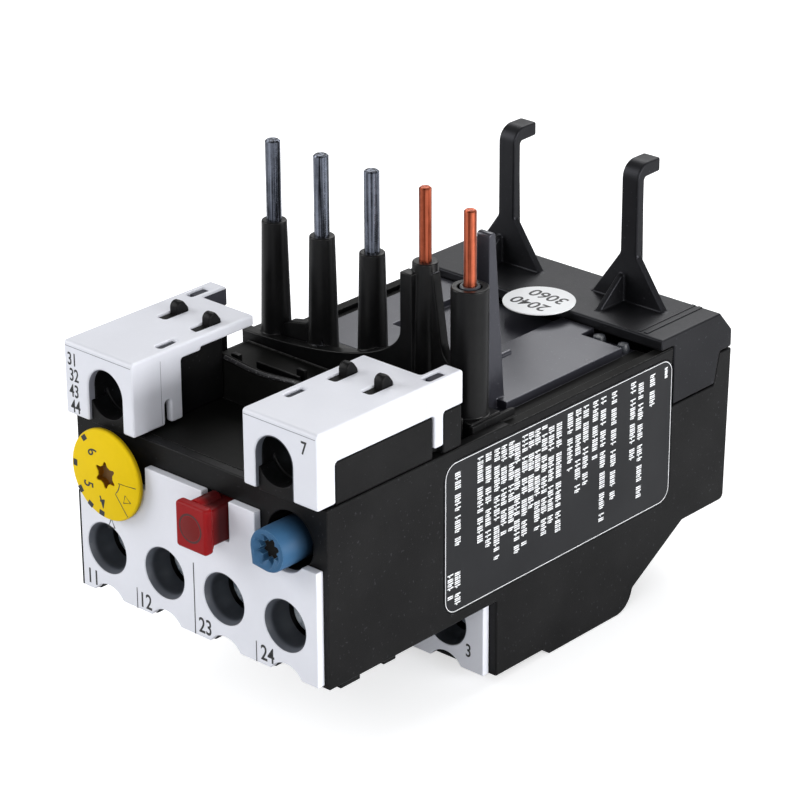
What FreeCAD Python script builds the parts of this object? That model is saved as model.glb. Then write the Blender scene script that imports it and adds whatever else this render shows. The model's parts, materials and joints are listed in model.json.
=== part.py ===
"""Thermal overload relay that plugs under a contactor, 45 mm wide.

Every sub-part is drawn in one working frame: X across the relay with 0 in its
middle, Y from the front of the white terminal plate towards the rear, Z up from
the underside of the front section.  Each sub-part's Placement then moves it to
the part's own frame, whose origin is the centre of the underside of its box.
Lengths are millimetres.
"""
import FreeCAD, Part
import math
import os
import re
import Sketcher
from FreeCAD import Placement, Rotation, Vector

# Driving dimensions, written once and kept in the spreadsheet.
SIZES = {
    # overall
    "width": 45.0, "body_depth": 83.6, "drop": 12.4, "rim_height": 25.0,
    "side_wall": 1.6, "bay_wall": 2.6, "joint_gap": 0.15, "running_gap": 0.05, "swing_gap": 0.3,
    # base housing
    "front_wall": 1.6, "front_block": 15.0, "step_depth": 33.4, "toe_rise": 1.1, "toe_depth": 43.5,
    "heel_height": 3.1, "heel_radius": 3.5, "tail_height": 9.6,
    "rear_rim": 20.4, "cover_ledge": 23.4, "floor": 1.6, "window_low": 8.0,
    "shelf_rim": 24.6, "shelf_start": 36.0,
    # front terminals and white plate
    "plate": 1.2, "plate_low": 0.45, "plate_top": 21.6, "terminal_pitch": 10.82,
    "terminal_height": 7.38, "terminal_offset": -0.17, "access_radius": 3.65, "collar_wall": 0.65,
    "collar_length": 2.8, "collar_taper": 0.35, "arch_radius": 3.2, "arch_rise": 1.5,
    "chamber_half": 4.45, "chamber_low": 2.2, "chamber_top": 11.5, "chamber_front": 4.2, "chamber_back": 13.6,
    "entry_radius": 3.1, "entry_depth": 10.5, "notch_right": 11.1, "notch_shelf": 16.6,
    "dial_notch_right": 8.6, "dial_notch_low": 14.5, "dial_notch_step": 18.4,
    # terminal screws
    "head_front": 5.5, "head_radius": 3.0, "head_length": 2.1, "shank_radius": 1.5, "thread_end": 13.5,
    "slot_width": 0.8, "slot_depth": 1.1, "slot_reach": 1.9, "washer_front": 7.7, "washer": 0.7,
    "washer_half": 3.4, "strip_front": 12.7, "strip": 0.8, "strip_half": 3.0, "tail_half": 1.5,
    # load terminals
    "load_pitch": 14.5, "load_height": -5.1, "load_chamber_back": 47.0,
    "load_head": 37.2, "load_washer": 39.6, "load_bar": 45.2, "load_entry": 42.4, "load_chamber_low": -9.4,
    "load_chamber_top": 0.4, "load_tail_end": 52.0, "load_tail_z": -6.2, "load_tail": 1.0,
    # current dial
    "dial_x": -14.7, "control_z": 19.0, "dial_radius": 6.35, "dial_front": -1.3, "dial_disc": 0.8,
    "hub_radius": 2.4, "spindle_radius": 2.2, "cam_radius": 2.4, "cam_throw": 0.8, "cam_length": 2.2,
    "socket_radius": 1.5, "socket_depth": 0.6,
    # test button
    "test_x": 4.15, "test_z": 18.7, "test_front": -4.4, "test_head": 1.5, "test_head_w": 5.4,
    "test_head_h": 6.4, "test_body_w": 4.4, "test_body_h": 5.2, "test_body_end": 8.0, "test_stem": 1.2,
    "test_stem_end": 15.4, "test_travel": 2.0,
    # reset button
    "reset_x": 16.1, "reset_front": -3.0, "reset_radius": 2.9, "reset_end": 5.0, "reset_stem": 1.6,
    "reset_stem_end": 13.9, "well_radius": 3.9, "well_depth": 5.6, "carriage_radius": 2.95,
    "carriage_length": 3.0, "pointer_reach": 3.7, "reset_socket": 1.9, "reset_slot": 1.0, "reset_socket_depth": 2.0,
    "pointer_end": 2.8,
    "button_wall": 13.0, "spring_wire": 0.4, "spring_radius": 1.85, "spring_turns": 5.0,
    # white terminal shrouds
    "shroud_inner": 9.8, "shroud_front": -0.4, "shroud_top": 35.7, "shroud_wall": 1.2, "shroud_cap": 1.5,
    "shroud_back": 21.7, "finger_width": 2.9, "finger_back": 26.5, "skirt_height": 31.0, "leg_front": 2.9,
    "leg_low": 25.4, "leg2_front": 21.15, "leg2_back": 22.8, "leg2_low": 26.4, "shroud_edge": 0.5,
    "arch_x": 15.1, "arch_z": 30.1, "arch_half": 3.2, "tab_inner": 12.2, "tab_outer": 18.2, "tab_width": 1.1,
    "tab_front": 15.4, "tab_back": 17.1, "slot_front": 13.0, "slot_back": 17.2, "slot_half": 0.8,
    "tab_top": 37.2, "tab_round": 1.0, "flank_inset": 0.2, "rear_slot_half": 0.7, "rear_slot_front": 20.8, "rear_slot_back": 24.2,
    "small_slot_front": 5.8, "small_slot_back": 9.1, "small_slot_x": 11.5, "small_slot_half": 0.6,
    "inner_leg_back": 8.4, "inner_step_back": 11.9, "inner_step": 33.75, "keyhole_half": 0.55,
    "keyhole_y": 5.8, "keyhole_top": 28.2,
    # black covers between and behind the shrouds
    "wall_front": 17.4, "wall_thick": 2.0, "wall_height": 31.0, "trough_height": 28.4,
    "trough_back": 30.0,
    # contact pins and their carrier
    "pin_row": 33.0, "pin_1": -16.8, "pin_2": -8.0, "pin_3": 1.0, "pin_4": 10.3, "pin_5": 17.9,
    "main_pin": 1.03, "thin_pin": 0.83, "pin_step": 0.3, "pin_bevel": 0.2, "pin_top": 55.4, "coil_pin_top": 54.2, "sleeve_top": 44.1,
    "signal_sleeve_top": 45.3, "sleeve_tip": 1.72, "sleeve_foot": 2.2, "carrier_front": 30.2,
    "carrier_back": 36.0, "carrier_top": 27.7, "sweep_wall": 1.8, "sweep_rise": 7.9, "sweep_low": 28.0,
    "sweep_end": 8.3, "sweep_top": 44.1, "web_front": 32.2, "web_back": 33.8, "web_foot": 13.8,
    "web_knee": 33.5, "web_tip": 12.2, "web_top": 44.1, "socket_radius_out": 2.5, "socket_bore": 1.6,
    "socket_floor": 40.5, "socket_top": 43.8,
    # deck behind the pins
    "deck_top": 25.2, "deck_front": 40.2, "trench": 23.9,
    "hollow_half": 8.0, "hollow_x": -3.0, "hollow_front": 50.0, "hollow_depth": 1.0,
    "pocket_inner": 10.9, "blade_x": 15.3, "blade_width": 2.2, "blade_front": 38.5,
    "blade_foot": 3.4, "blade_thick": 1.2, "blade_top": 48.8, "peg_height": 30.4, "peg_end": 44.0,
    "peg_radius": 0.45,
    # hood with the contactor hooks
    "hood_low": 16.0, "hood_top": 26.4,
    "hood_knee_z": 20.6, "hood_chamfer": 2.8, "hood_shoulder": 23.2, "rear_draft": 0.6,
    "tail_radius": 0.9, "hood_roof": 1.6,
    "hook_pitch": 22.3, "hook_middle": -1.0, "hook_width": 2.9, "post_thick": 1.5,
    "hook_height": 46.9, "hook_thick": 2.1, "hook_reach": 3.4, "hook_curve": 2.4, "web_half": 6.4,
    "web_height": 33.5, "web_thick": 1.2, "rib_height": 30.4, "rib_thick": 0.9,
    "sticker_radius": 5.15, "sticker_x": 0.9, "film": 0.2,
    "label_front": 22.9, "label_low": 1.6, "label_high": 23.4, "label_corner": 2.4,
    # heaters, bimetal strips and trip train
    "strip_row": 55.0, "bimetal_half": 2.0, "bimetal": 0.8, "bimetal_top": 17.5, "base_front": 50.0,
    "base_back": 60.3, "base_top": -7.4, "rear_floor": 1.8, "rear_wall_front": 48.0,
    "coil_half_x": 1.8, "coil_half_y": 3.0, "coil_wire": 0.7, "coil_turns": 6.0, "coil_step": 2.4,
    "coil_start": -3.2, "riser": 0.6, "lead_z": 20.0, "lead": 1.2, "lead_half": 0.8, "lead_turn": 44.4, "lead_turn_3": 39.6,
    "slide_front": 57.3, "slide_thick": 1.5, "slide_low": 14.6, "slide_height": 2.4, "slide_half": 17.6,
    "finger": 1.2, "rail_thick": 1.6, "rail_low": 12.4, "slide_travel": 1.2,
    "lever_x": 8.65, "lever_y": 42.0, "lever_half": 0.65, "lever_front": 25.2, "lever_back": 56.8,
    "lever_low": 15.6, "lever_height": 2.4, "boss_radius": 2.0, "pivot_radius": 0.8,
    "rocker_x": 10.4, "rocker_y": 18.5, "rocker_half": 0.8, "rocker_low": 16.5, "rocker_height": 4.0,
    "rocker_left": -8.0, "rocker_right": 17.5, "rocker_back": 28.0, "contact_x": -6.0, "contact": 0.4,
    "contact_radius": 1.0, "open_gap": 3.4, "closed_gap": 0.1, "strip_z": 12.2, "strip_rise": 20.0,
    # margins and setbacks that the derived sizes use
    "cover_gap": 0.2, "trench_width": 2.6, "window_step": 0.6, "left_margin": 1.3, "right_margin": 0.8,
    "heel_setback": 22.0, "slope_setback": 10.1, "knee_setback": 2.6, "knee_step": 1.1,
    "hood_length": 16.0, "hood_step": 2.8, "post_setback": 8.2, "rib_length": 5.5, "pocket_length": 2.9,
}

# Sizes that follow from the ones above, so that the pieces which meet keep meeting.
DERIVED = {
    "cover_half": "width / 2 - side_wall - cover_gap",
    "bridge_half": "width / 2 - finger_width - cover_gap",
    "deck_half": "cover_half - trench_width",
    "window_half": "width / 2 - bay_wall - window_step",
    "plate_left": "width / 2 - left_margin",
    "plate_right": "width / 2 - right_margin",
    "load_plate_half": "width / 2 - left_margin",
    "heel_depth": "body_depth - heel_setback",
    "slope_end": "body_depth - slope_setback",
    "hood_knee": "body_depth - knee_setback",
    "hood_knee_low": "hood_knee - knee_step",
    "hood_front": "body_depth - hood_length",
    "hood_side_front": "hood_front + hood_step",
    "post_front": "body_depth - post_setback",
    "rib_front": "post_front - rib_length",
    "deck_back": "hood_front - cover_gap",
    "pocket_front": "deck_back - pocket_length",
    "sticker_y": "hood_front - cover_gap",
    "label_back": "hood_side_front - cover_gap",
    # the working frame's place in the part's own frame
    "frame_y": "-(body_depth + test_front) / 2",
    "frame_z": "drop",
}

doc = FreeCAD.newDocument("OverloadRelay")
sheet = doc.addObject("Spreadsheet::Sheet", "Sizes")
for row, (alias, number) in enumerate(SIZES.items(), start=1):
    sheet.set(f"A{row}", alias)
    sheet.set(f"B{row}", str(number))
    sheet.setAlias(f"B{row}", alias)
doc.recompute()

sub_parts = []


def formula(text):
    """An expression on the sheet, from plain size names; a derived size is written out."""
    def cell(match):
        name = match.group()
        if name in DERIVED:
            return f"({formula(DERIVED[name])})"
        return "Sizes." + name if name in SIZES else name
    return re.sub(r"[a-z_][a-z_0-9]*", cell, text)


def bind(feature, path, text):
    feature.setExpression(path, formula(text))


def box(name, x, y, z):
    """A block between two expressions along each axis."""
    feature = doc.addObject("Part::Box", name)
    for side, axis, (low, high) in zip(("Length", "Width", "Height"), "xyz", (x, y, z)):
        bind(feature, side, f"({high}) - ({low})")
        bind(feature, f"Placement.Base.{axis}", low)
    return feature


TURNS = {"x": Rotation(Vector(0, 1, 0), 90), "y": Rotation(Vector(1, 0, 0), -90), "z": Rotation()}


def stand(feature, axis, centre, low):
    """Turn a round primitive along an axis and bind its foot."""
    feature.Placement = Placement(Vector(), TURNS[axis])
    across = [letter for letter in "xyz" if letter != axis]
    for letter, text in zip(across, centre):
        bind(feature, f"Placement.Base.{letter}", text)
    bind(feature, f"Placement.Base.{axis}", low)
    return feature


def rod(name, axis, centre, span, radius):
    feature = doc.addObject("Part::Cylinder", name)
    bind(feature, "Radius", radius)
    bind(feature, "Height", f"({span[1]}) - ({span[0]})")
    return stand(feature, axis, centre, span[0])


def cone(name, axis, centre, span, first, second):
    feature = doc.addObject("Part::Cone", name)
    bind(feature, "Radius1", first)
    bind(feature, "Radius2", second)
    bind(feature, "Height", f"({span[1]}) - ({span[0]})")
    return stand(feature, axis, centre, span[0])


def join(name, *features):
    feature = doc.addObject("Part::MultiFuse", name)
    feature.Shapes = list(features)
    feature.Refine = True
    return feature


def cut(name, base, *tools):
    feature = doc.addObject("Part::Cut", name)
    feature.Base = base
    feature.Tool = tools[0] if len(tools) == 1 else join(name + "_tools", *tools)
    feature.Refine = True
    return feature


PLANES = {"XY": ("XY_Plane", 1), "XZ": ("XZ_Plane", -1), "YZ": ("YZ_Plane", 1)}


def prism(name, plane, corners, span, rounds=()):
    """A padded sketch.  rounds is a list of (corner numbers, radius size)."""
    role, sign = PLANES[plane]
    body = doc.addObject("PartDesign::Body", name)
    sketch = body.newObject("Sketcher::SketchObject", name + "_sketch")
    sketch.AttachmentSupport = [(next(f for f in body.Origin.OriginFeatures if f.Role == role), "")]
    sketch.MapMode = "FlatFace"
    low, high = span
    bind(sketch, "AttachmentOffset.Base.z", low if sign > 0 else f"-({high})")
    count = len(corners)
    for i in range(count):
        # the sides start on a regular polygon and the constraints carry them to their places
        ends = [Vector(math.cos(2 * math.pi * k / count), math.sin(2 * math.pi * k / count), 0) for k in (i, i + 1)]
        sketch.addGeometry(Part.LineSegment(*ends))
    for i, (across, up) in enumerate(corners):
        sketch.addConstraint(Sketcher.Constraint("Coincident", i, 2, (i + 1) % count, 1))
        for kind, text in (("DistanceX", across), ("DistanceY", up)):
            number = sketch.addConstraint(Sketcher.Constraint(kind, -1, 1, i, 1, 1.0))
            sketch.setExpression(f"Constraints[{number}]", formula(text))
    pad = body.newObject("PartDesign::Pad", name + "_pad")
    pad.Profile = sketch
    bind(pad, "Length", f"({high}) - ({low})")
    doc.recompute()
    solid = pad
    for number, (numbers, radius) in enumerate(rounds):
        places = [sketch.Geometry[i].StartPoint for i in numbers]
        names = edges_at(solid.Shape, plane, places)
        fillet = body.newObject("PartDesign::Fillet", f"{name}_round{number}")
        fillet.Base = (solid, names)
        bind(fillet, "Radius", radius)
        doc.recompute()
        solid = fillet
    return body


def edges_at(shape, plane, places):
    """Names of the straight edges that run through the given sketch points, square to the plane."""
    across, up, along = {"XY": "xyz", "XZ": "xzy", "YZ": "yzx"}[plane]
    names = []
    for number, edge in enumerate(shape.Edges, start=1):
        first, second = edge.Vertexes[0].Point, edge.Vertexes[-1].Point
        if abs(getattr(first, along) - getattr(second, along)) < 1e-6:
            continue
        for place in places:
            if all(abs(getattr(end, across) - place.x) + abs(getattr(end, up) - place.y) < 1e-4
                   for end in (first, second)):
                names.append(f"Edge{number}")
    return names


def sub_part(name, *features):
    """One node: its solids, its Label, and its Placement in the part's own frame."""
    feature = doc.addObject("Part::Compound", name + "_part")
    feature.Links = list(features)
    feature.Label = name
    bind(feature, "Placement.Base.y", "frame_y")
    bind(feature, "Placement.Base.z", "frame_z")
    sub_parts.append(feature)
    return feature


def spring(name, x, z, span):
    """A helical spring along Y between two faces."""
    low, high = span
    helix = doc.addObject("Part::Helix", name + "_line")
    bind(helix, "Radius", "spring_radius")
    bind(helix, "Height", f"({high}) - ({low}) - spring_wire")
    bind(helix, "Pitch", f"(({high}) - ({low}) - spring_wire) / spring_turns")
    stand(helix, "y", (x, z), f"{low} + spring_wire / 2")
    section = doc.addObject("Part::Circle", name + "_wire")
    bind(section, "Radius", "spring_wire / 2")
    section.Placement = Placement(Vector(), Rotation())
    for axis, text in (("x", f"{x} + spring_radius"), ("y", f"{low} + spring_wire / 2"), ("z", z)):
        bind(section, f"Placement.Base.{axis}", text)
    sweep = doc.addObject("Part::Sweep", name)
    sweep.Sections = [section]
    sweep.Spine = (helix, [])
    sweep.Solid = True
    sweep.Frenet = True
    return sweep


FRONT_X = [f"terminal_offset + terminal_pitch * {k}" for k in (-1.5, -0.5, 0.5, 1.5)]
LOAD_X = [f"load_pitch * {k}" for k in (-1, 0, 1)]


def around(centre, half):
    return (f"{centre} - {half}", f"{centre} + {half}")


# ---------------------------------------------------------------- base housing
def base_housing():
    outline = [
        ("plate", "0"), ("step_depth", "0"), ("step_depth", "toe_rise - drop"), ("toe_depth", "toe_rise - drop"),
        ("toe_depth + toe_rise", "-drop"), ("heel_depth", "-drop"), ("heel_depth + 1", "heel_height - drop"),
        ("slope_end", "tail_height - drop"), ("body_depth - rear_draft", "tail_height - drop"), ("body_depth", "rear_rim"),
        ("hood_knee", "rear_rim"), ("hood_knee_low", "hood_low - joint_gap"),
        ("hood_side_front - joint_gap", "hood_low - joint_gap"), ("hood_side_front - joint_gap", "shelf_rim"),
        ("shelf_start", "shelf_rim"), ("shelf_start - (rim_height - shelf_rim)", "rim_height"),
        ("plate", "rim_height")]
    shell = prism("housing_block", "YZ", outline, ("-width / 2", "width / 2"), [((5,), "heel_radius"), ((8,), "tail_radius")])
    inner = ("side_wall - width / 2", "width / 2 - side_wall")
    bay = ("bay_wall - width / 2", "width / 2 - bay_wall")
    tools = [
        label_sheet("label_seat"),
        box("cover_recess", inner, ("plate + front_wall", "body_depth"), ("cover_ledge", "rim_height + 1")),
        box("mechanism_bay", bay, ("front_block", "step_depth - side_wall"), ("floor", "rim_height")),
        box("bay_window", ("-window_half", "window_half"), ("front_block", "step_depth + 2 * side_wall"),
            ("window_low", "rim_height")),
        box("trip_bay", bay, ("step_depth + side_wall", "body_depth - rear_draft - side_wall"), ("floor", "rim_height")),
        box("strip_bay", bay, ("rear_wall_front", "heel_depth - side_wall"), ("rear_floor - drop", "rim_height")),
        box("tail_bay", bay, ("rear_wall_front", "body_depth - rear_draft - side_wall"), ("tail_height - drop + side_wall + 1",
                                                                             "rim_height")),
        rod("spindle_bore", "y", ("dial_x", "control_z"), ("0", "front_block + 1"),
            "spindle_radius + running_gap"),
        rod("dial_relief", "y", ("dial_x", "control_z"), ("0", "plate + swing_gap + 1"), "hub_radius + swing_gap"),
        box("test_shaft", around("test_x", "(test_body_w / 2 + joint_gap)"), ("0", "button_wall"),
            around("test_z", "(test_body_h / 2 + joint_gap)")),
        rod("test_bore", "y", ("test_x", "test_z"), ("0", "front_block + 1"), "test_stem + running_gap"),
        rod("reset_well", "y", ("reset_x", "control_z"), ("0", "well_depth"), "well_radius"),
        rod("reset_guide", "y", ("reset_x", "control_z"), ("0", "button_wall"), "carriage_radius + running_gap"),
        rod("reset_bore", "y", ("reset_x", "control_z"), ("0", "front_block + 1"), "reset_stem + running_gap"),
    ]
    for k, x in enumerate(FRONT_X):
        tools += [
            box(f"chamber{k}", around(x, "chamber_half"), ("chamber_front", "chamber_back"),
                ("chamber_low", "chamber_top")),
            rod(f"collar_seat{k}", "y", (x, "terminal_height"), ("0", "chamber_front + 0.1"),
                "access_radius + collar_wall + joint_gap"),
            rod(f"wire_entry{k}", "z", (x, "entry_depth"), ("-1", "chamber_low + 0.1"), "entry_radius"),
            box(f"strip_slot{k}", around(x, "(tail_half + joint_gap)"), ("chamber_back - 0.1", "front_block + 0.1"),
                ("chamber_top - 1", "strip_z + strip + joint_gap")),
            box(f"strip_rise_slot{k}", around(x, "(tail_half + joint_gap)"),
                ("strip_front - joint_gap", "chamber_back"), ("chamber_top - 1", "strip_z + strip + joint_gap")),
        ]
    for k, x in enumerate(LOAD_X):
        tools += [
            box(f"load_chamber{k}", around(x, "chamber_half"), ("step_depth + side_wall", "load_chamber_back"),
                ("load_chamber_low", "load_chamber_top")),
            rod(f"load_seat{k}", "y", (x, "load_height"), ("step_depth - 1", "step_depth + side_wall + 0.1"),
                "access_radius + collar_wall + joint_gap"),
            rod(f"load_entry{k}", "z", (x, "load_entry"), ("-drop - 1", "load_chamber_low + 0.1"), "entry_radius"),
            box(f"bar_slot{k}", around(x, "(tail_half + joint_gap)"),
                ("load_chamber_back - 0.1", "rear_wall_front + 0.1"),
                ("load_tail_z - joint_gap", "load_tail_z + load_tail + joint_gap")),
        ]
    tools += arch_tools("wall", FRONT_X, "plate_low", "chamber_front + 0.6")
    sub_part("base_housing", cut("housing_shell", shell, *tools))


# ---------------------------------------------------------------- white plates
def arch_tools(prefix, centres, low, back="body_depth"):
    """Round cutters that leave the shallow arches along a plate's lower edge."""
    return [rod(f"{prefix}_arch{k}", "y", (x, f"{low} + arch_rise - arch_radius"), ("-2", back),
                "arch_radius") for k, x in enumerate(centres)]


def collars(prefix, centres, height, front):
    """Tubes that lead a screwdriver from the plate to the screws, and the bores through them."""
    tubes, bores = [], []
    for k, x in enumerate(centres):
        back = f"{front} + plate + collar_length"
        tubes.append(rod(f"{prefix}_tube{k}", "y", (x, height), (front, back), "access_radius + collar_wall"))
        bores.append(cone(f"{prefix}_bore{k}", "y", (x, height), (f"{front} - 0.01", f"{back} + 0.01"),
                          "access_radius", "access_radius - collar_taper"))
    return tubes, bores


def front_plate():
    plate = box("plate_sheet", ("-plate_left", "plate_right"), ("0", "plate"), ("plate_low", "plate_top"))
    tubes, bores = collars("front", FRONT_X, "terminal_height", "0")
    notches = [
        box("reset_notch", ("notch_right", "width"), ("-1", "plate + 1"), ("notch_shelf", "rim_height")),
        box("dial_notch", ("-width", "dial_x"), ("-1", "plate + 1"), ("dial_notch_low", "rim_height")),
        box("dial_notch_upper", ("dial_x - 0.1", "-dial_notch_right"), ("-1", "plate + 1"),
            ("dial_notch_step", "rim_height")),
        rod("hub_hole", "y", ("dial_x", "control_z"), ("-1", "plate + 1"), "hub_radius + swing_gap"),
        rod("reset_ring", "y", ("reset_x", "control_z"), ("-1", "plate + 1"), "well_radius"),
        box("test_notch", around("test_x", "(test_body_w / 2 + joint_gap)"), ("-1", "plate + 1"),
            ("test_z - test_body_h / 2 - joint_gap", "rim_height")),
    ]
    sub_part("front_plate", cut("front_plate_cut", join("front_plate_sum", plate, *tubes), *bores, *notches,
                                *arch_tools("front", FRONT_X, "plate_low")))


def load_plate():
    front = "step_depth - plate"
    low = "toe_rise - drop"
    plate = box("load_sheet", ("-load_plate_half", "load_plate_half"), (front, "step_depth"),
                (low, "-joint_gap"))
    tubes, bores = collars("load", LOAD_X, "load_height", front)
    sub_part("load_plate", cut("load_plate_cut", join("load_plate_sum", plate, *tubes), *bores,
                               *arch_tools("load", LOAD_X, low)))


# ---------------------------------------------------------------- shrouds over the upper terminals
def side(sign, low, high):
    """An X span on the right, or its mirror on the left."""
    return (low, high) if sign > 0 else (f"-({high})", f"-({low})")


def shroud(name, sign):
    outline = [
        ("shroud_front", "leg_low"), ("finger_back", "leg_low"), ("finger_back", "shroud_top"),
        ("shroud_front", "shroud_top")]
    block = prism(name + "_block", "YZ", outline, side(sign, "shroud_inner", "width / 2"),
                  [((2, 3), "shroud_edge")])
    cap = "shroud_top - shroud_cap"
    hollow = box(name + "_hollow", side(sign, "shroud_inner + shroud_wall", "width / 2 - shroud_wall"),
                 ("shroud_front + shroud_wall", "finger_back + 1"), ("leg_low - 1", cap))
    shoulder = box(name + "_shoulder", side(sign, "shroud_inner - 1", "width / 2 - finger_width"),
                   ("shroud_back", "finger_back + 1"), ("leg_low - 1", "shroud_top + 1"))
    # the outer wall keeps two legs, and its lower edge is the skirt
    outer = side(sign, "width / 2 - shroud_wall - 0.1", "width / 2 + 1")
    windows = [
        prism(name + "_window", "YZ", [("leg_front", "leg_low - 1"), ("leg2_front", "leg_low - 1"),
                                       ("leg2_front", "skirt_height"), ("leg_front", "skirt_height")],
              outer, [((2, 3), "shroud_edge")]),
        prism(name + "_rear_window", "YZ", [("leg2_back", "leg_low - 1"), ("finger_back + 1", "leg_low - 1"),
                                            ("finger_back + 1", "skirt_height"), ("leg2_back", "skirt_height")],
              outer, [((3,), "shroud_edge")]),
        box(name + "_leg_end", outer, ("leg_front + 1", "finger_back"), ("leg_low - 1", "leg2_low"))]
    # the inner wall is one leg with a keyhole, and steps up to the cap behind it
    inner = side(sign, "shroud_inner - 1", "shroud_inner + shroud_wall + 0.1")
    windows += [
        box(name + "_inner_window", inner, ("inner_leg_back", "finger_back + 1"), ("leg_low - 1", "inner_step")),
        box(name + "_inner_step", inner, ("inner_step_back", "finger_back + 1"), ("leg_low - 1", cap)),
        box(name + "_keyhole", inner, around("keyhole_y", "keyhole_half"), ("leg_low - 1", "keyhole_top")),
        rod(name + "_keyhole_top", "x", ("keyhole_y", "keyhole_top"), inner, "keyhole_half")]
    arch_x = "arch_x" if sign > 0 else "-arch_x"
    front = ("shroud_front - 1", "shroud_front + shroud_wall + 0.1")
    arch = rod(name + "_arch", "y", (arch_x, "arch_z"), front, "arch_half")
    throat = box(name + "_throat", around(arch_x, "arch_half"), front, ("leg_low - 1", "arch_z"))
    height = (f"{cap} - 1", "shroud_top + 1")
    slots = [box(f"{name}_slot{k}", side(sign, f"{x} - slot_half", f"{x} + slot_half"), ("slot_front", "slot_back"),
                 height) for k, x in enumerate(("tab_inner", "tab_outer"))]
    slots += [
        box(name + "_rear_slot", side(sign, "width / 2 - finger_width / 2 - rear_slot_half",
                                      "width / 2 - finger_width / 2 + rear_slot_half"),
            ("rear_slot_front", "rear_slot_back"), height),
        box(name + "_small_slot", side(sign, "small_slot_x - small_slot_half", "small_slot_x + small_slot_half"),
            ("small_slot_front", "small_slot_back"), height)]
    sub_part(name, cut(name + "_cut", block, hollow, shoulder, arch, throat, *windows, *slots))


def insert(name, sign):
    """The black block under a shroud: it holds the terminal and its two snap tabs."""
    gap = "joint_gap"
    core = box(name + "_core", side(sign, f"shroud_inner + shroud_wall + {gap}", f"width / 2 - shroud_wall - {gap}"),
               (f"shroud_front + shroud_wall + {gap}", f"wall_front - {gap}"),
               ("rim_height", f"shroud_top - shroud_cap - {gap}"))
    flank = box(name + "_flank", side(sign, "width / 2 - finger_width", "width / 2 - flank_inset"),
                (f"leg_front + {gap}", f"leg2_front - {gap}"), ("rim_height", f"skirt_height - {gap}"))
    rear = box(name + "_rear", side(sign, "width / 2 - finger_width", "width / 2 - flank_inset"),
               (f"leg2_back + {gap}", "finger_back"), ("rim_height", f"skirt_height - {gap}"))
    neck = box(name + "_neck", side(sign, "width / 2 - finger_width", f"width / 2 - shroud_wall - {gap}"),
               ("shroud_back - 1", "finger_back"), ("rim_height", f"skirt_height - {gap}"))
    tabs = []
    for k, x in enumerate(("tab_inner", "tab_outer")):
        low, high = side(sign, f"{x} - tab_width / 2", f"{x} + tab_width / 2")
        tabs.append(prism(f"{name}_tab{k}", "YZ", [
            ("tab_front", "skirt_height"), ("tab_back", "skirt_height"), ("tab_back", "tab_top"),
            ("tab_front", "tab_top")], (low, high), [((2,), "tab_round"), ((3,), "tab_round / 2")]))
    arch_x = "arch_x" if sign > 0 else "-arch_x"
    access = rod(name + "_access", "y", (arch_x, "arch_z"), ("0", "thread_end + joint_gap"),
                 "head_radius + swing_gap")
    clamp_bay = box(name + "_clamp_bay", around(arch_x, "(washer_half + swing_gap)"),
                    ("washer_front - 0.1", "thread_end + joint_gap"), around("arch_z", "(washer_half + swing_gap)"))
    entry = box(name + "_entry", around(arch_x, "arch_half"), ("0", "leg_front"), ("rim_height - 1", "arch_z"))
    sub_part(name, cut(name + "_cut", join(name + "_sum", core, flank, rear, neck, *tabs),
                       access, clamp_bay, entry))


# ---------------------------------------------------------------- black covers
def front_cover():
    plate = box("front_cover_plate", ("-cover_half", "cover_half"),
                ("plate + front_wall + joint_gap", "carrier_front - joint_gap"), ("cover_ledge", "rim_height"))
    bridge = prism("front_cover_bridge", "YZ", [
        ("plate + front_wall + joint_gap", "cover_ledge"), ("plate + front_wall + joint_gap", "rim_height"),
        ("wall_front", "rim_height"), ("wall_front", "wall_height"), ("wall_front + wall_thick", "wall_height"),
        ("wall_front + wall_thick", "trough_height"), ("trough_back", "trough_height"),
        ("trough_back", "cover_ledge")], ("-bridge_half", "bridge_half"),
        [((3, 4, 6), "shroud_edge")])
    sub_part("front_cover", join("front_cover_sum", plate, bridge))


def sweep_cutter(name, left, right, low, rise):
    """A quarter of an ellipse that the carrier's front wall follows up to a sleeve."""
    ring = doc.addObject("Part::Ellipse", name + "_ring")
    bind(ring, "MajorRadius", f"({right}) - ({left})")
    bind(ring, "MinorRadius", rise)
    ring.Placement = Placement(Vector(), Rotation(Vector(1, 0, 0), 90))
    bind(ring, "Placement.Base.x", left)
    bind(ring, "Placement.Base.y", "carrier_front - 1")
    bind(ring, "Placement.Base.z", f"{low} + {rise}")
    block = doc.addObject("Part::Extrusion", name)
    block.Base = ring
    block.DirMode = "Custom"
    block.Dir = Vector(0, 1, 0)
    bind(block, "LengthFwd", "sweep_wall + 2")
    block.Solid = True
    return block


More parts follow.
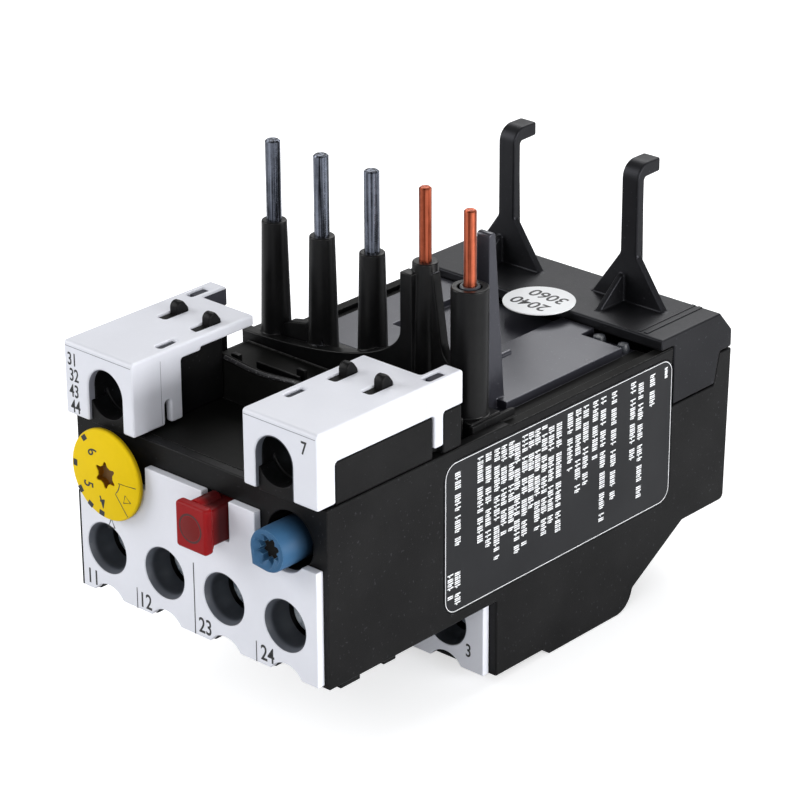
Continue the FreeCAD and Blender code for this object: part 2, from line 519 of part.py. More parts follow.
def pin_carrier():
    base = box("carrier_base", ("-cover_half", "cover_half"), ("carrier_front", "carrier_back"),
               ("cover_ledge", "carrier_top - 1.5"))
    bench = box("carrier_bench", ("-cover_half", "pin_4"), ("carrier_front", "carrier_back"),
                ("carrier_top - 2", "carrier_top"))
    # the front wall sweeps up from the left and ends as a rib on the fourth sleeve
    wall_y = ("carrier_front", "carrier_front + sweep_wall")
    wall = cut("sweep", box("sweep_block", ("-cover_half", "pin_4"), wall_y, ("cover_ledge", "sweep_top")),
               sweep_cutter("sweep_cutter", "-cover_half", "sweep_end", "sweep_low", "sweep_rise"),
               box("sweep_space", ("-width", "sweep_end"), around("carrier_front", "sweep_wall + 1"),
                   ("sweep_low + sweep_rise", "sweep_top + 1")))
    web = prism("web", "XZ", [
        ("pin_4", "cover_ledge"), ("pin_5", "cover_ledge"), ("pin_5", "web_knee - 4"), ("web_foot", "web_knee"),
        ("web_tip", "web_top"), ("pin_4", "web_top")], ("web_front", "web_back"), [((3,), "heel_radius")])
    sleeves, bores = [], []
    tops = {1: "sleeve_top", 2: "sleeve_top", 3: "sleeve_top", 4: "signal_sleeve_top"}
    for k, top in tops.items():
        sleeves.append(cone(f"sleeve{k}", "z", (f"pin_{k}", "pin_row"), ("cover_ledge", top), "sleeve_foot",
                            "sleeve_tip"))
    # the coil pin stands in a round socket with an open top
    sleeves.append(rod("socket", "z", ("pin_5", "pin_row"), ("cover_ledge", "socket_top"), "socket_radius_out"))
    bores.append(rod("socket_mouth", "z", ("pin_5", "pin_row"), ("socket_floor", "pin_top"), "socket_bore"))
    for k in range(1, 6):
        pin = "main_pin" if k < 4 else "thin_pin"
        bores.append(rod(f"sleeve_bore{k}", "z", (f"pin_{k}", "pin_row"), ("cover_ledge - 1", "pin_top"),
                         f"{pin} - pin_step + running_gap"))
    body = join("carrier_sum", base, bench, wall, web, *sleeves)
    sub_part("pin_carrier", cut("carrier_cut", body, *bores))


def top_cover():
    plate = box("deck_plate", ("-cover_half", "cover_half"), ("carrier_back + joint_gap", "deck_back"),
                ("cover_ledge", "trench"))
    deck = box("deck", ("-deck_half", "deck_half"), ("deck_front", "deck_back"), ("trench - 0.1", "deck_top"))
    hollow = box("deck_hollow", around("hollow_x", "hollow_half"), ("hollow_front", "body_depth"),
                 ("deck_top - hollow_depth", "rim_height + 2"))
    pocket = box("deck_pocket", ("pocket_inner", "width"), ("pocket_front", "body_depth"),
                 ("trench", "rim_height + 2"))
    raised = cut("deck_cut", deck, hollow, pocket)
    blade = prism("blade", "YZ", [
        ("blade_front", "cover_ledge"), ("blade_front + blade_foot", "cover_ledge"),
        ("blade_front + blade_thick", "blade_top"), ("blade_front", "blade_top")],
        around("blade_x", "blade_width / 2"), [((2, 3), "shroud_edge")])
    peg = rod("blade_peg", "y", ("blade_x", "peg_height"), ("blade_front + 1", "peg_end"), "peg_radius")
    sub_part("top_cover", join("top_cover_sum", plate, raised, blade, peg))


def hook(name, centre):
    """A contactor hook: a post with a hooked top on a triangular web and a front rib."""
    back = "post_front + post_thick"
    post = prism(name + "_post", "YZ", [
        ("post_front", "hood_top - 0.5"), (back, "hood_top - 0.5"), (back, "hook_height - hook_thick"),
        (f"{back} + hook_reach", "hook_height - hook_thick + 0.1"), (f"{back} + hook_reach", "hook_height"),
        ("post_front", "hook_height")], around(centre, "hook_width / 2"), [((5,), "hook_curve"), ((2,), "shroud_edge")])
    web = prism(name + "_web", "XZ", [
        (f"{centre} - web_half", "hood_top - 0.5"), (f"{centre} + web_half", "hood_top - 0.5"),
        (f"{centre} + web_half", "hood_top"), (f"{centre} + hook_width / 2", "web_height"),
        (f"{centre} - hook_width / 2", "web_height"), (f"{centre} - web_half", "hood_top")],
        ("post_front", "post_front + web_thick"))
    rib = prism(name + "_rib", "YZ", [
        ("rib_front", "hood_top - 0.5"), ("post_front + 0.1", "hood_top - 0.5"), ("post_front + 0.1", "rib_height"),
        ("post_front - 0.6", "rib_height"), ("rib_front", "hood_top")],
        around(f"{centre} - hook_width / 2 + rib_thick / 2", "rib_thick / 2"))
    return join(name, post, web, rib)


def rear_hood():
    outline = [
        ("hood_side_front", "hood_low"), ("hood_knee_low", "hood_low"), ("hood_knee", "hood_knee_z"),
        ("body_depth", "hood_knee_z"), ("body_depth", "hood_shoulder"), ("body_depth - hood_chamfer", "hood_top"),
        ("hood_front", "hood_top"), ("hood_front", "hood_top - hood_roof"),
        ("hood_side_front", "hood_top - hood_roof")]
    block = prism("hood_block", "YZ", outline, ("-width / 2", "width / 2"),
                  [((4, 5), "shroud_edge"), ((2,), "shroud_edge")])
    hollow = prism("hood_hollow", "YZ", [
        ("hood_front - 1", "hood_low - 1"), ("body_depth - side_wall", "hood_low - 1"),
        ("body_depth - side_wall", "hood_shoulder"), ("body_depth - hood_chamfer", "hood_top - hood_roof"),
        ("hood_front - 1", "hood_top - hood_roof")], ("side_wall - width / 2", "width / 2 - side_wall"))
    shell = cut("hood_shell", block, hollow)
    hooks = [hook(f"hook{k}", f"hook_middle + {sign} * hook_pitch / 2") for k, sign in enumerate((-1, 1))]
    sub_part("rear_hood", join("rear_hood_sum", shell, *hooks))


# ---------------------------------------------------------------- labels
def label_sheet(name):
    """The rounded film on the right side, and the cutter for its shallow seat."""
    return prism(name, "YZ", [
        ("label_front", "label_low"), ("label_back", "label_low"), ("label_back", "label_high"),
        ("label_front", "label_high")], ("width / 2 - film", "width / 2"), [((0, 1, 2, 3), "label_corner")])


def labels():
    sub_part("hood_sticker", rod("sticker", "z", ("sticker_x", "sticker_y"), ("hood_top", "hood_top + film"),
                                 "sticker_radius"))
    sub_part("side_label", label_sheet("label"))


# ---------------------------------------------------------------- screws and clamps
def screw(name, x, z, front, end):
    """A cheese-head screw along Y with a crossed recess."""
    head = rod(name + "_head", "y", (x, z), (front, f"{front} + head_length"), "head_radius")
    shank = rod(name + "_shank", "y", (x, z), (front, end), "shank_radius")
    depth = (f"{front} - 0.1", f"{front} + slot_depth")
    cross = [box(name + "_slot_a", around(x, "slot_reach"), depth, around(z, "slot_width / 2")),
             box(name + "_slot_b", around(x, "slot_width / 2"), depth, around(z, "slot_reach"))]
    return cut(name, join(name + "_sum", head, shank), *cross)


def washer(name, x, z, front):
    """The square pressure plate under a screw's head."""
    sheet_metal = box(name + "_sheet", around(x, "washer_half"), (front, f"{front} + washer"),
                      around(z, "washer_half"))
    return cut(name, sheet_metal, rod(name + "_hole", "y", (x, z), (f"{front} - 1", f"{front} + 2"),
                                      "shank_radius + running_gap"))


def terminal_hardware():
    groups = {
        "front": ([(x, "terminal_height") for x in FRONT_X], "head_front", "washer_front", "thread_end"),
        "load": ([(x, "load_height") for x in LOAD_X], "load_head", "load_washer", "load_bar + load_tail"),
        "shroud": ([(x, "arch_z") for x in ("-arch_x", "arch_x")], "head_front", "washer_front", "thread_end")}
    for group, (places, head, plate, end) in groups.items():
        sub_part(f"{group}_terminal_screws",
                 *[screw(f"{group}_screw{k}", x, z, head, end) for k, (x, z) in enumerate(places)])
        sub_part(f"{group}_terminal_washers",
                 *[washer(f"{group}_washer{k}", x, z, plate) for k, (x, z) in enumerate(places)])


def terminal_strips():
    """The four auxiliary terminal strips, each from its screw to the contacts."""
    names = ("nc_strip_in", "nc_strip_out", "no_strip_in", "no_strip_out")
    pad_rear = "rocker_y + rocker_half + contact + open_gap"
    pad_front = "rocker_y - rocker_half - contact - closed_gap - contact"
    low, high = "strip_z", "strip_z + strip"
    for k, (name, x) in enumerate(zip(names, FRONT_X)):
        plate = box(name + "_plate", around(x, "strip_half"), ("strip_front", "strip_front + strip"),
                    ("chamber_low + 0.8", "chamber_top - 0.1"))
        neck = box(name + "_neck", around(x, "tail_half"), ("strip_front", "strip_front + strip"),
                   ("chamber_top - 1", high))
        pieces = [plate, neck]
        if name == "nc_strip_out":
            pieces += [
                box(name + "_tail", around(x, "tail_half"), ("strip_front", pad_front), (low, high)),
                box(name + "_post", around(x, "tail_half"), (f"{pad_front} - strip", pad_front),
                    (low, "strip_rise")),
                rod(name + "_pad", "y", ("contact_x", "rocker_low + rocker_height / 2"),
                    (f"{pad_front} - 0.1", f"{pad_front} + contact"), "contact_radius")]
        elif name == "no_strip_in":
            pieces += [
                box(name + "_tail", around(x, "tail_half"), ("strip_front", f"{pad_rear} + contact + strip"),
                    (low, high)),
                box(name + "_cross", ("contact_x - tail_half", f"{x} + tail_half"),
                    (f"{pad_rear} + contact", f"{pad_rear} + contact + strip"), (low, high)),
                box(name + "_post", around("contact_x", "tail_half"),
                    (f"{pad_rear} + contact", f"{pad_rear} + contact + strip"), (low, "strip_rise")),
                rod(name + "_pad", "y", ("contact_x", "rocker_low + rocker_height / 2"),
                    (pad_rear, f"{pad_rear} + contact + 0.1"), "contact_radius")]
        else:
            pieces.append(box(name + "_tail", around(x, "tail_half"), ("strip_front", "front_block + 1.5"),
                              (low, high)))
        hole = rod(name + "_hole", "y", (x, "terminal_height"), ("strip_front - 1", "strip_front + 2"),
                   "shank_radius + running_gap")
        sub_part(name, cut(name + "_cut", join(name + "_sum", *pieces), hole))


# ---------------------------------------------------------------- current path of the three poles
def contact_pin(name, number, foot, shoulder, top, radius):
    """A pin that stands on its sleeve, with a thinner root inside it and a bevelled tip."""
    centre = (f"pin_{number}", "pin_row")
    root = rod(name + "_root", "z", centre, (foot, f"{shoulder} + 0.1"), f"{radius} - pin_step")
    shaft = rod(name + "_shaft", "z", centre, (shoulder, f"{top} - pin_bevel"), radius)
    tip = cone(name + "_tip", "z", centre, (f"{top} - pin_bevel", top), radius, f"{radius} - pin_bevel")
    sub_part(name, join(name + "_sum", root, shaft, tip))


def contact_pins():
    for k in (1, 2, 3):
        contact_pin(f"main_pin_{k}", k, "lead_z + lead", "sleeve_top", "pin_top", "main_pin")
    contact_pin("signal_pin", 4, "cover_ledge", "signal_sleeve_top", "pin_top", "thin_pin")
    contact_pin("coil_pin", 5, "cover_ledge", "socket_floor", "coil_pin_top", "thin_pin")


def pole(number, x):
    """One pole's lead, heater winding, bimetal strip and load bar."""
    pin = f"pin_{number}"
    lead = ("lead_z", "lead_z + lead")
    # the third lead crosses over in front of the second, so that the two stay apart
    turn_y = "lead_turn_3" if number == 3 else "lead_turn"
    turn = (turn_y, f"{turn_y} + lead")
    sub_part(f"heater_lead_{number}", join(
        f"lead{number}",
        box(f"lead_run{number}", around(pin, "lead_half"), ("pin_row - 1", f"{turn_y} + lead"), lead),
        box(f"lead_cross{number}", (f"{pin} - lead_half", f"{x} + lead_half"), turn, lead),
        box(f"lead_end{number}", around(x, "lead_half"), (turn_y, "strip_row - coil_half_y - riser"), lead)))
    rings = []
    for turn_number in range(int(SIZES["coil_turns"])):
        low = f"coil_start + {turn_number} * coil_step"
        high = f"{low} + coil_step / 2"
        outer = box(f"ring_out{number}_{turn_number}", around(x, "coil_half_x"), around("strip_row", "coil_half_y"),
                    (low, high))
        inner = box(f"ring_in{number}_{turn_number}", around(x, "(coil_half_x - coil_wire)"),
                    around("strip_row", "(coil_half_y - coil_wire)"), (low, high))
        rings.append(cut(f"ring{number}_{turn_number}", outer, inner))
    riser = box(f"riser{number}", around(x, "lead_half"),
                ("strip_row - coil_half_y - riser", "strip_row - coil_half_y + 0.1"),
                ("load_tail_z + load_tail", "lead_z + lead"))
    sub_part(f"heater_{number}", join(f"heater{number}", riser, *rings))
    sub_part(f"bimetal_{number}", box(f"bimetal{number}", around(x, "bimetal / 2"),
                                      around("strip_row", "bimetal_half"), ("base_top", "bimetal_top")))
    plate = box(f"bar_plate{number}", around(x, "strip_half"), ("load_bar", "load_bar + load_tail"),
                ("load_chamber_low + 0.6", "load_chamber_top - 0.6"))
    tail = box(f"bar_tail{number}", around(x, "tail_half"), ("load_bar", "load_tail_end"),
               ("load_tail_z", "load_tail_z + load_tail"))
    hole = rod(f"bar_hole{number}", "y", (x, "load_height"), ("load_bar - 1", "load_bar + load_tail + 0.05"),
               "shank_radius + running_gap")
    sub_part(f"load_bar_{number}", cut(f"bar_cut{number}", join(f"bar{number}", plate, tail), hole))


def heater_base():
    sub_part("heater_base", box("heater_block", ("bay_wall - width / 2 + joint_gap",
                                                 "width / 2 - bay_wall - joint_gap"),
                                ("base_front", "heel_depth - side_wall - joint_gap"),
                                ("rear_floor - drop", "base_top")))


# ---------------------------------------------------------------- trip train
def trip_train():
    height = ("slide_low", "slide_low + slide_height")
    back = "slide_front + slide_thick"
    bar = box("slide_bar", ("-slide_half", "slide_half"), ("slide_front", back), height)
    fingers = [box(f"slide_finger{k}", (f"{x} - bimetal / 2 - swing_gap - finger", f"{x} - bimetal / 2 - swing_gap"),
                   ("strip_row - 1", "slide_front"), height) for k, x in enumerate(LOAD_X)]
    pusher = box("slide_pusher", ("lever_x + lever_half + swing_gap", "lever_x + lever_half + swing_gap + finger"),
                 ("lever_back - 2.8", "slide_front"), height)
    sub_part("trip_slide", join("slide_sum", bar, *fingers, pusher))
    inside = ("bay_wall - width / 2 + joint_gap", "width / 2 - bay_wall - joint_gap")
    fence = box("rail_fence", inside, (f"{back} + joint_gap", f"{back} + joint_gap + rail_thick"),
                ("rail_low", "slide_low + slide_height + 0.5"))
    ledge = box("rail_ledge", inside, ("slide_front + 0.2", f"{back} + joint_gap + 0.1"),
                ("rail_low", "slide_low - joint_gap"))
    sub_part("slide_rail", join("rail_sum", fence, ledge))
    lever_z = ("lever_low", "lever_low + lever_height")
    arm = box("lever_arm", around("lever_x", "lever_half"), ("lever_front", "lever_back"), lever_z)
    boss = rod("lever_boss", "z", ("lever_x", "lever_y"), lever_z, "boss_radius")
    bore = rod("lever_bore", "z", ("lever_x", "lever_y"), ("lever_low - 1", "rim_height"),
               "pivot_radius + running_gap")
    sub_part("trip_lever", cut("lever_cut", join("lever_sum", arm, boss), bore))
    rocker_z = ("rocker_low", "rocker_low + rocker_height")
    cross = box("rocker_cross", ("rocker_left", "rocker_right"), around("rocker_y", "rocker_half"), rocker_z)
    arm_y = box("rocker_arm", around("rocker_x", "rocker_half"), ("rocker_y", "rocker_back"), rocker_z)
    hub = rod("rocker_hub", "z", ("rocker_x", "rocker_y"), rocker_z, "boss_radius")
    hub_bore = rod("rocker_bore", "z", ("rocker_x", "rocker_y"), ("rocker_low - 1", "rim_height"),
                   "pivot_radius + running_gap")
    sub_part("contact_rocker", cut("rocker_cut", join("rocker_sum", cross, arm_y, hub), hub_bore))
    for name, y in (("nc_moving_contact", ("rocker_y - rocker_half - contact", "rocker_y - rocker_half")),
                    ("no_moving_contact", ("rocker_y + rocker_half", "rocker_y + rocker_half + contact"))):
        sub_part(name, rod(name + "_pad", "y", ("contact_x", "rocker_low + rocker_height / 2"), y,
                           "contact_radius"))
    for name, x, y, seat, top in (
            ("lever_pivot", "lever_x", "lever_y", "lever_low", "lever_low + lever_height + 1"),
            ("rocker_pivot", "rocker_x", "rocker_y", "rocker_low", "rocker_low + rocker_height + 1")):
        post = rod(name + "_post", "z", (x, y), ("floor", f"{seat} - swing_gap"), "boss_radius")
        axle = rod(name + "_axle", "z", (x, y), ("floor", top), "pivot_radius")
        sub_part(name, join(name + "_sum", post, axle))


# ---------------------------------------------------------------- controls on the front
def current_dial():
    back = "dial_front + dial_disc"
    centre = ("dial_x", "control_z")
    disc = rod("dial_face", "y", centre, ("dial_front", back), "dial_radius")
    hub = rod("dial_hub", "y", centre, ("dial_front", "plate"), "hub_radius")
    socket = [box(f"dial_socket{k}", around("dial_x", a), ("dial_front - 1", "dial_front + socket_depth"),
                  around("control_z", b)) for k, (a, b) in enumerate((("socket_radius", "slot_width / 2"),
                                                                     ("slot_width / 2", "socket_radius")))]
    sub_part("current_dial", cut("dial_cut", join("dial_sum", disc, hub), *socket))
    shaft = rod("dial_shaft", "y", centre, ("plate", "front_block + swing_gap"), "spindle_radius")
    cam = rod("dial_cam", "y", ("dial_x + cam_throw", "control_z"),
              ("front_block + swing_gap", "front_block + swing_gap + cam_length"), "cam_radius")
    sub_part("dial_spindle", join("spindle_sum", shaft, cam))


def test_button():
    head = prism("test_head", "XZ", [
        ("test_x - test_head_w / 2", "test_z - test_head_h / 2"), ("test_x + test_head_w / 2", "test_z - test_head_h / 2"),
        ("test_x + test_head_w / 2", "test_z + test_head_h / 2"), ("test_x - test_head_w / 2", "test_z + test_head_h / 2")],
        ("test_front", "test_front + test_head"), [((0, 1, 2, 3), "shroud_edge")])
    body = box("test_body", around("test_x", "test_body_w / 2"), ("test_front + 0.1", "test_body_end"),
               around("test_z", "test_body_h / 2"))
    stem = rod("test_rod", "y", ("test_x", "test_z"), ("test_front + 1", "test_stem_end"), "test_stem")
    sub_part("test_button", join("test_sum", head, body, stem))
    sub_part("test_spring", spring("test_coil", "test_x", "test_z", ("test_body_end", "button_wall")))


def reset_button():
    centre = ("reset_x", "control_z")
    body = rod("reset_body", "y", centre, ("reset_front", "reset_end"), "reset_radius")
    # the pointer is a corner of a square turned onto the lower left of the knob
    pointer = prism("reset_pointer", "XZ", [
        ("reset_x - 0.7071 * reset_radius", "control_z + 0.2 * reset_radius"),
        ("reset_x - pointer_reach * 0.7071", "control_z - pointer_reach * 0.7071"),
        ("reset_x + 0.2 * reset_radius", "control_z - 0.7071 * reset_radius")], ("reset_front", "pointer_end"))
    stem = rod("reset_rod", "y", centre, ("reset_front + 3", "reset_stem_end"), "reset_stem")
    depth = ("reset_front - 1", "reset_front + reset_socket_depth")
    sockets = [box(f"reset_socket{k}", around("reset_x", a), depth, around("control_z", b))
               for k, (a, b) in enumerate((("reset_socket", "reset_slot / 2"), ("reset_slot / 2", "reset_socket")))]
    sub_part("reset_button", cut("reset_cut", join("reset_sum", body, pointer, stem), *sockets))
    collar = rod("carriage_ring", "y", centre, ("reset_end + running_gap", "reset_end + running_gap + carriage_length"),
                 "carriage_radius")
    bore = rod("carriage_bore", "y", centre, ("0", "front_block"), "reset_stem + running_gap")
    sub_part("reset_carriage", cut("carriage_cut", collar, bore))
    sub_part("reset_spring", spring("reset_coil", "reset_x", "control_z",
                                    ("reset_end + running_gap + carriage_length", "button_wall")))


base_housing()
front_plate()
load_plate()
for side_name, side_sign in (("left", -1), ("right", 1)):
    shroud(f"{side_name}_shroud", side_sign)
    insert(f"{side_name}_terminal_block", side_sign)
front_cover()
pin_carrier()
top_cover()
rear_hood()
labels()
terminal_hardware()
terminal_strips()
contact_pins()
for pole_number, pole_x in enumerate(LOAD_X, start=1):
    pole(pole_number, pole_x)
heater_base()
trip_train()
current_dial()
test_button()
reset_button()

doc.recompute()
faults = [f"{feature.Name}: {feature.State}" for feature in doc.Objects
          if "Invalid" in feature.State or "Error" in feature.State]
faults += [f"{feature.Label}: bad shape" for feature in sub_parts
           if feature.Shape.isNull() or not feature.Shape.isValid() or not feature.Shape.Solids]
if faults:
    raise SystemExit("The model did not build:\n" + "\n".join(faults))

os.makedirs("parts", exist_ok=True)
for feature in sub_parts:
    solids = feature.Shape.Solids
    shape = solids[0] if len(solids) == 1 else feature.Shape
    shape.exportStep(f"parts/{feature.Label}.step")
    print(feature.Label, len(solids), round(feature.Shape.Volume, 2))
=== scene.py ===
"""Looks of the thermal overload relay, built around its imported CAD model.

Metres, Z up, the CAD model's own frame: X across the relay, Y from the front
to the rear, the origin in the middle of the underside.  MM turns millimetres
into metres, and at() gives a point of the working frame in which the relay is
dimensioned (Y from the face of the white terminal plate, Z from the underside
of the front section).
"""
import json
import math

import bmesh
import bpy
import numpy as np
from mathutils import Matrix, Vector


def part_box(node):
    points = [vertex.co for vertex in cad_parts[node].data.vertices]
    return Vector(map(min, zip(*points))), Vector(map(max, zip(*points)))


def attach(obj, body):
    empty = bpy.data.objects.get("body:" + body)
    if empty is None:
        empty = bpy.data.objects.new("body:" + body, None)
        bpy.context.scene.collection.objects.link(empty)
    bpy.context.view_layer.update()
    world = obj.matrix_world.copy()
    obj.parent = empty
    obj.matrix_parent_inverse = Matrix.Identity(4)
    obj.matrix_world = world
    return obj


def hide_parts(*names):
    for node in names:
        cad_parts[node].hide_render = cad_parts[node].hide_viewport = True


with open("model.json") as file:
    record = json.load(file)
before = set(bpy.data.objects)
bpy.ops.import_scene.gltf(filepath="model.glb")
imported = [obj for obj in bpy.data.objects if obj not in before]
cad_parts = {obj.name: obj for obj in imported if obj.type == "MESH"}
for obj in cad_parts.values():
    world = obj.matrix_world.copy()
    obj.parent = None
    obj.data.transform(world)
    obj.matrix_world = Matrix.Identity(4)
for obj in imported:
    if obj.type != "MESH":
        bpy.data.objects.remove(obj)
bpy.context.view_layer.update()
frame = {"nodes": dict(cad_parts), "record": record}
nodes = frame["nodes"]

MM = 0.001
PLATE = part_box("front_plate")
PLATE_FOOT = 0.45
ORIGIN = Vector((0, PLATE[0].y, PLATE[0].z - PLATE_FOOT * MM))


def at(x, y, z):
    """A point of the working frame, given in millimetres."""
    return ORIGIN + Vector((x, y, z)) * MM


# ---------------------------------------------------------------- shader maths
class Value:
    """An output socket of a material's node tree; arithmetic on it adds Math nodes."""

    def __init__(self, tree, socket=None):
        self.tree = tree
        self.socket = socket

    def node(self, kind, settings, sockets, output=0):
        """Adds a node: its settings come first, then its sockets' values or links."""
        node = self.tree.nodes.new("ShaderNode" + kind)
        for name, value in settings.items():
            if name == "stops":
                ramp = node.color_ramp.elements
                while len(ramp) < len(value):
                    ramp.new(0.5)
                for element, (place, colour) in zip(ramp, value):
                    element.position, element.color = place, colour
            else:
                setattr(node, name, value)
        for name, value in sockets.items():
            if isinstance(value, Value):
                self.tree.links.new(value.socket, node.inputs[name])
            else:
                node.inputs[name].default_value = value
        return Value(self.tree, node.outputs[output])

    def math(self, operation, *values):
        """A Math node over the values."""
        return self.node("Math", {"operation": operation}, dict(enumerate(values)))

    def __add__(self, other):
        return self.math("ADD", self, other)

    def __radd__(self, other):
        return self.math("ADD", other, self)

    def __sub__(self, other):
        return self.math("SUBTRACT", self, other)

    def __rsub__(self, other):
        return self.math("SUBTRACT", other, self)

    def __mul__(self, other):
        return self.math("MULTIPLY", self, other)

    def __rmul__(self, other):
        return self.math("MULTIPLY", other, self)

    def __truediv__(self, other):
        return self.math("DIVIDE", self, other)

    def __abs__(self):
        return self.math("ABSOLUTE", self)


def rise(value, low, high):
    """0 below low, 1 above high, smooth between them."""
    return value.node("MapRange", {"interpolation_type": "SMOOTHSTEP"},
                      {"Value": value, "From Min": low, "From Max": high})


def mixed(share, first, second):
    """The first colour where share is 0, the second where it is 1."""
    return share.node("Mix", {"data_type": "RGBA"}, {0: share, 6: first, 7: second}, 2)


def linear(red, green, blue):
    """A colour written as 0-255 screen values, for a shader's linear socket."""
    def channel(c):
        """One channel of the screen value, made linear."""
        c /= 255
        return c / 12.92 if c <= 0.04045 else ((c + 0.055) / 1.055) ** 2.4
    return (channel(red), channel(green), channel(blue), 1.0)


class Finish:
    """A material under construction: its Principled shader, its place and its textures in millimetres."""

    def __init__(self, name):
        self.material = bpy.data.materials.new(name)
        self.material.use_nodes = True
        self.tree = self.material.node_tree
        self.shader = self.tree.nodes["Principled BSDF"]
        self.base = Value(self.tree)
        place = self.base.node("TexCoord", {}, {}, "Object")
        self.place = self.base.node("VectorMath", {"operation": "SCALE"},
                                    {"Vector": place, "Scale": 1 / MM})

    def axes(self):
        """X, Y and Z of the shaded point in the working frame, in millimetres."""
        shifted = self.base.node("VectorMath", {"operation": "SUBTRACT"},
                                 {0: self.place, 1: ORIGIN / MM})
        return [self.base.node("SeparateXYZ", {}, {"Vector": shifted}, axis) for axis in "XYZ"]

    def noise(self, scale, detail=3.0, roughness=0.55, place=None):
        """Soft cloudy noise from 0 to 1, scale features to the millimetre."""
        return self.base.node("TexNoise", {}, {"Vector": place or self.place, "Scale": scale,
                                               "Detail": detail, "Roughness": roughness})

    def edges(self, radius):
        """0 on flat faces, 1 on edges sharper than the radius, from how far a rounded normal leans."""
        rounded = self.base.node("Bevel", {"samples": 6}, {"Radius": radius * MM})
        flat = self.base.node("NewGeometry", {}, {}, "Normal")
        lean = self.base.node("VectorMath", {"operation": "DOT_PRODUCT"},
                              {0: rounded, 1: flat}, "Value")
        return rise(1 - lean, 0.02, 0.22)

    def set(self, **sockets):
        """Shader sockets by name, with _ for a space: a value, a colour or a Value."""
        for name, value in sockets.items():
            socket = self.shader.inputs[name.replace("_", " ")]
            if isinstance(value, Value):
                self.tree.links.new(value.socket, socket)
            else:
                socket.default_value = value

    def bump(self, height, depth, strength=1.0):
        """Height from 0 to 1 as relief of that depth in millimetres."""
        normal = self.base.node("Bump", {}, {"Height": height, "Distance": depth * MM,
                                             "Strength": strength})
        self.set(Normal=normal)


# ---------------------------------------------------------------- finishes
DIAL = (-14.7, 0.0, 19.0)
COOL_GLINT = (0.86, 0.88, 1.0, 1.0)
EDGE_WIDTH = 0.16


def moulded(name, colour, roughness, grain=0.02, cloud=0.06, edge_wear_and_light=None, speck=0.0, gloss=0.5):
    """Injection-moulded plastic: fine spark-eroded grain, a faint cloudy colour, paler edges that are partly
    rubbed wear and partly a painted highlight.

    grain is the relief in millimetres, cloud how much the colour drifts, worn the colour of the edges, partly
    rubbed wear and partly a painted highlight, speck how much of the face carries bright dust-sized flecks
    and gloss the specular level.
    """
    finish = Finish(name)
    tone = finish.noise(0.09, 2.0)
    fine = finish.noise(5.5, 4.0, 0.7)
    coarse = finish.noise(1.1, 3.0)
    pale = tuple(min(1.0, c * (1 + 2 * cloud) + 0.004) for c in colour[:3]) + (1.0,)
    dark = tuple(c * (1 - cloud) for c in colour[:3]) + (1.0,)
    tint = mixed(rise(tone + coarse * 0.3, 0.4, 0.95), dark, pale)
    edge = finish.edges(EDGE_WIDTH)
    # Paler edges: rubbed wear, and a painted highlight where the edges catch the light.
    if edge_wear_and_light:
        tint = mixed(edge * rise(coarse, 0.25, 0.6), tint, edge_wear_and_light)
    if speck:
        fleck = rise(finish.noise(2.6, 1.0, 0.4), 0.77 - speck, 0.8 - speck)
        tint = mixed(fleck * 0.5, tint, edge_wear_and_light or pale)
    finish.set(Base_Color=tint, Roughness=roughness + 0.10 * (coarse - 0.5) - 0.06 * edge,
               Specular_IOR_Level=gloss)
    finish.bump(fine * 0.7 + coarse * 0.3, grain)
    return finish


def black_plastic():
    """Housing, pin carrier and hook plastic: near-black thermoset with a soft sheen."""
    return moulded("black_plastic", linear(12, 12, 13), 0.42, grain=0.018, edge_wear_and_light=linear(62, 62, 66),
                   speck=0.05, gloss=0.13)


def carrier_plastic():
    """Glossier black of the pin carrier, whose sleeve rims and sides catch the light; its pale edge colour
    paints the highlight on them.
    """
    return moulded("carrier_plastic", linear(11, 11, 12), 0.32, grain=0.01,
                   edge_wear_and_light=linear(104, 105, 112), gloss=0.22)


def lip_black():
    """Edge of the cover's wall: rubbed grey whose pale edges and bright flecks paint the lip's highlight and
    glints.
    """
    return moulded("lip_black", linear(44, 44, 46), 0.35, grain=0.05, cloud=0.3,
                   edge_wear_and_light=linear(150, 150, 152), speck=0.12, gloss=0.4)


def shaded_white():
    """Painted shade: white plastic coloured grey as if deep in its own shade, inside the slots and between
    the fingers.
    """
    return moulded("shaded_white", linear(66, 67, 75), 0.6, grain=0.006, gloss=0.1)


def deck_plastic():
    """Smoother cover behind the pins, whose flow marks show as long faint swirls."""
    finish = moulded("deck_plastic", linear(30, 30, 36), 0.3, grain=0.006, edge_wear_and_light=linear(84, 84, 90),
                     speck=0.05, gloss=0.8)
    flow = finish.noise(0.07, 2.0, 0.5)
    bent = finish.base.node("Mapping", {}, {"Vector": finish.place, "Rotation": (0, 0, 0.6),
                                            "Scale": (0.35, 1.3, 1.0)})
    swirl = finish.noise(0.16, 4.0, 0.6, bent)
    finish.set(Roughness=0.26 + 0.12 * flow + 0.14 * (swirl - 0.5), Specular_Tint=COOL_GLINT)
    return finish


def hood_plastic():
    """Charcoal of the rear hood and its hooks, with a cool sheen."""
    finish = moulded("hood_plastic", linear(11, 11, 13), 0.4, grain=0.012, edge_wear_and_light=linear(66, 66, 72),
                     speck=0.04, gloss=0.24)
    finish.set(Specular_Tint=COOL_GLINT)
    return finish


def white_plastic():
    """Cool white of the plates and shrouds."""
    return moulded("white_plastic", linear(222, 224, 232), 0.38, grain=0.006, cloud=0.015,
                   edge_wear_and_light=linear(238, 239, 244))


def shade_by_depth(finish, front, back, dark):
    """Painted shade: lets the finish's colour fall off to a dark one between two depths behind the plate's
    face.
    """
    plain = Value(finish.tree, finish.shader.inputs["Base Color"].links[0].from_socket)
    finish.set(Base_Color=mixed(rise(finish.axes()[1], front, back), plain, dark))
    return finish


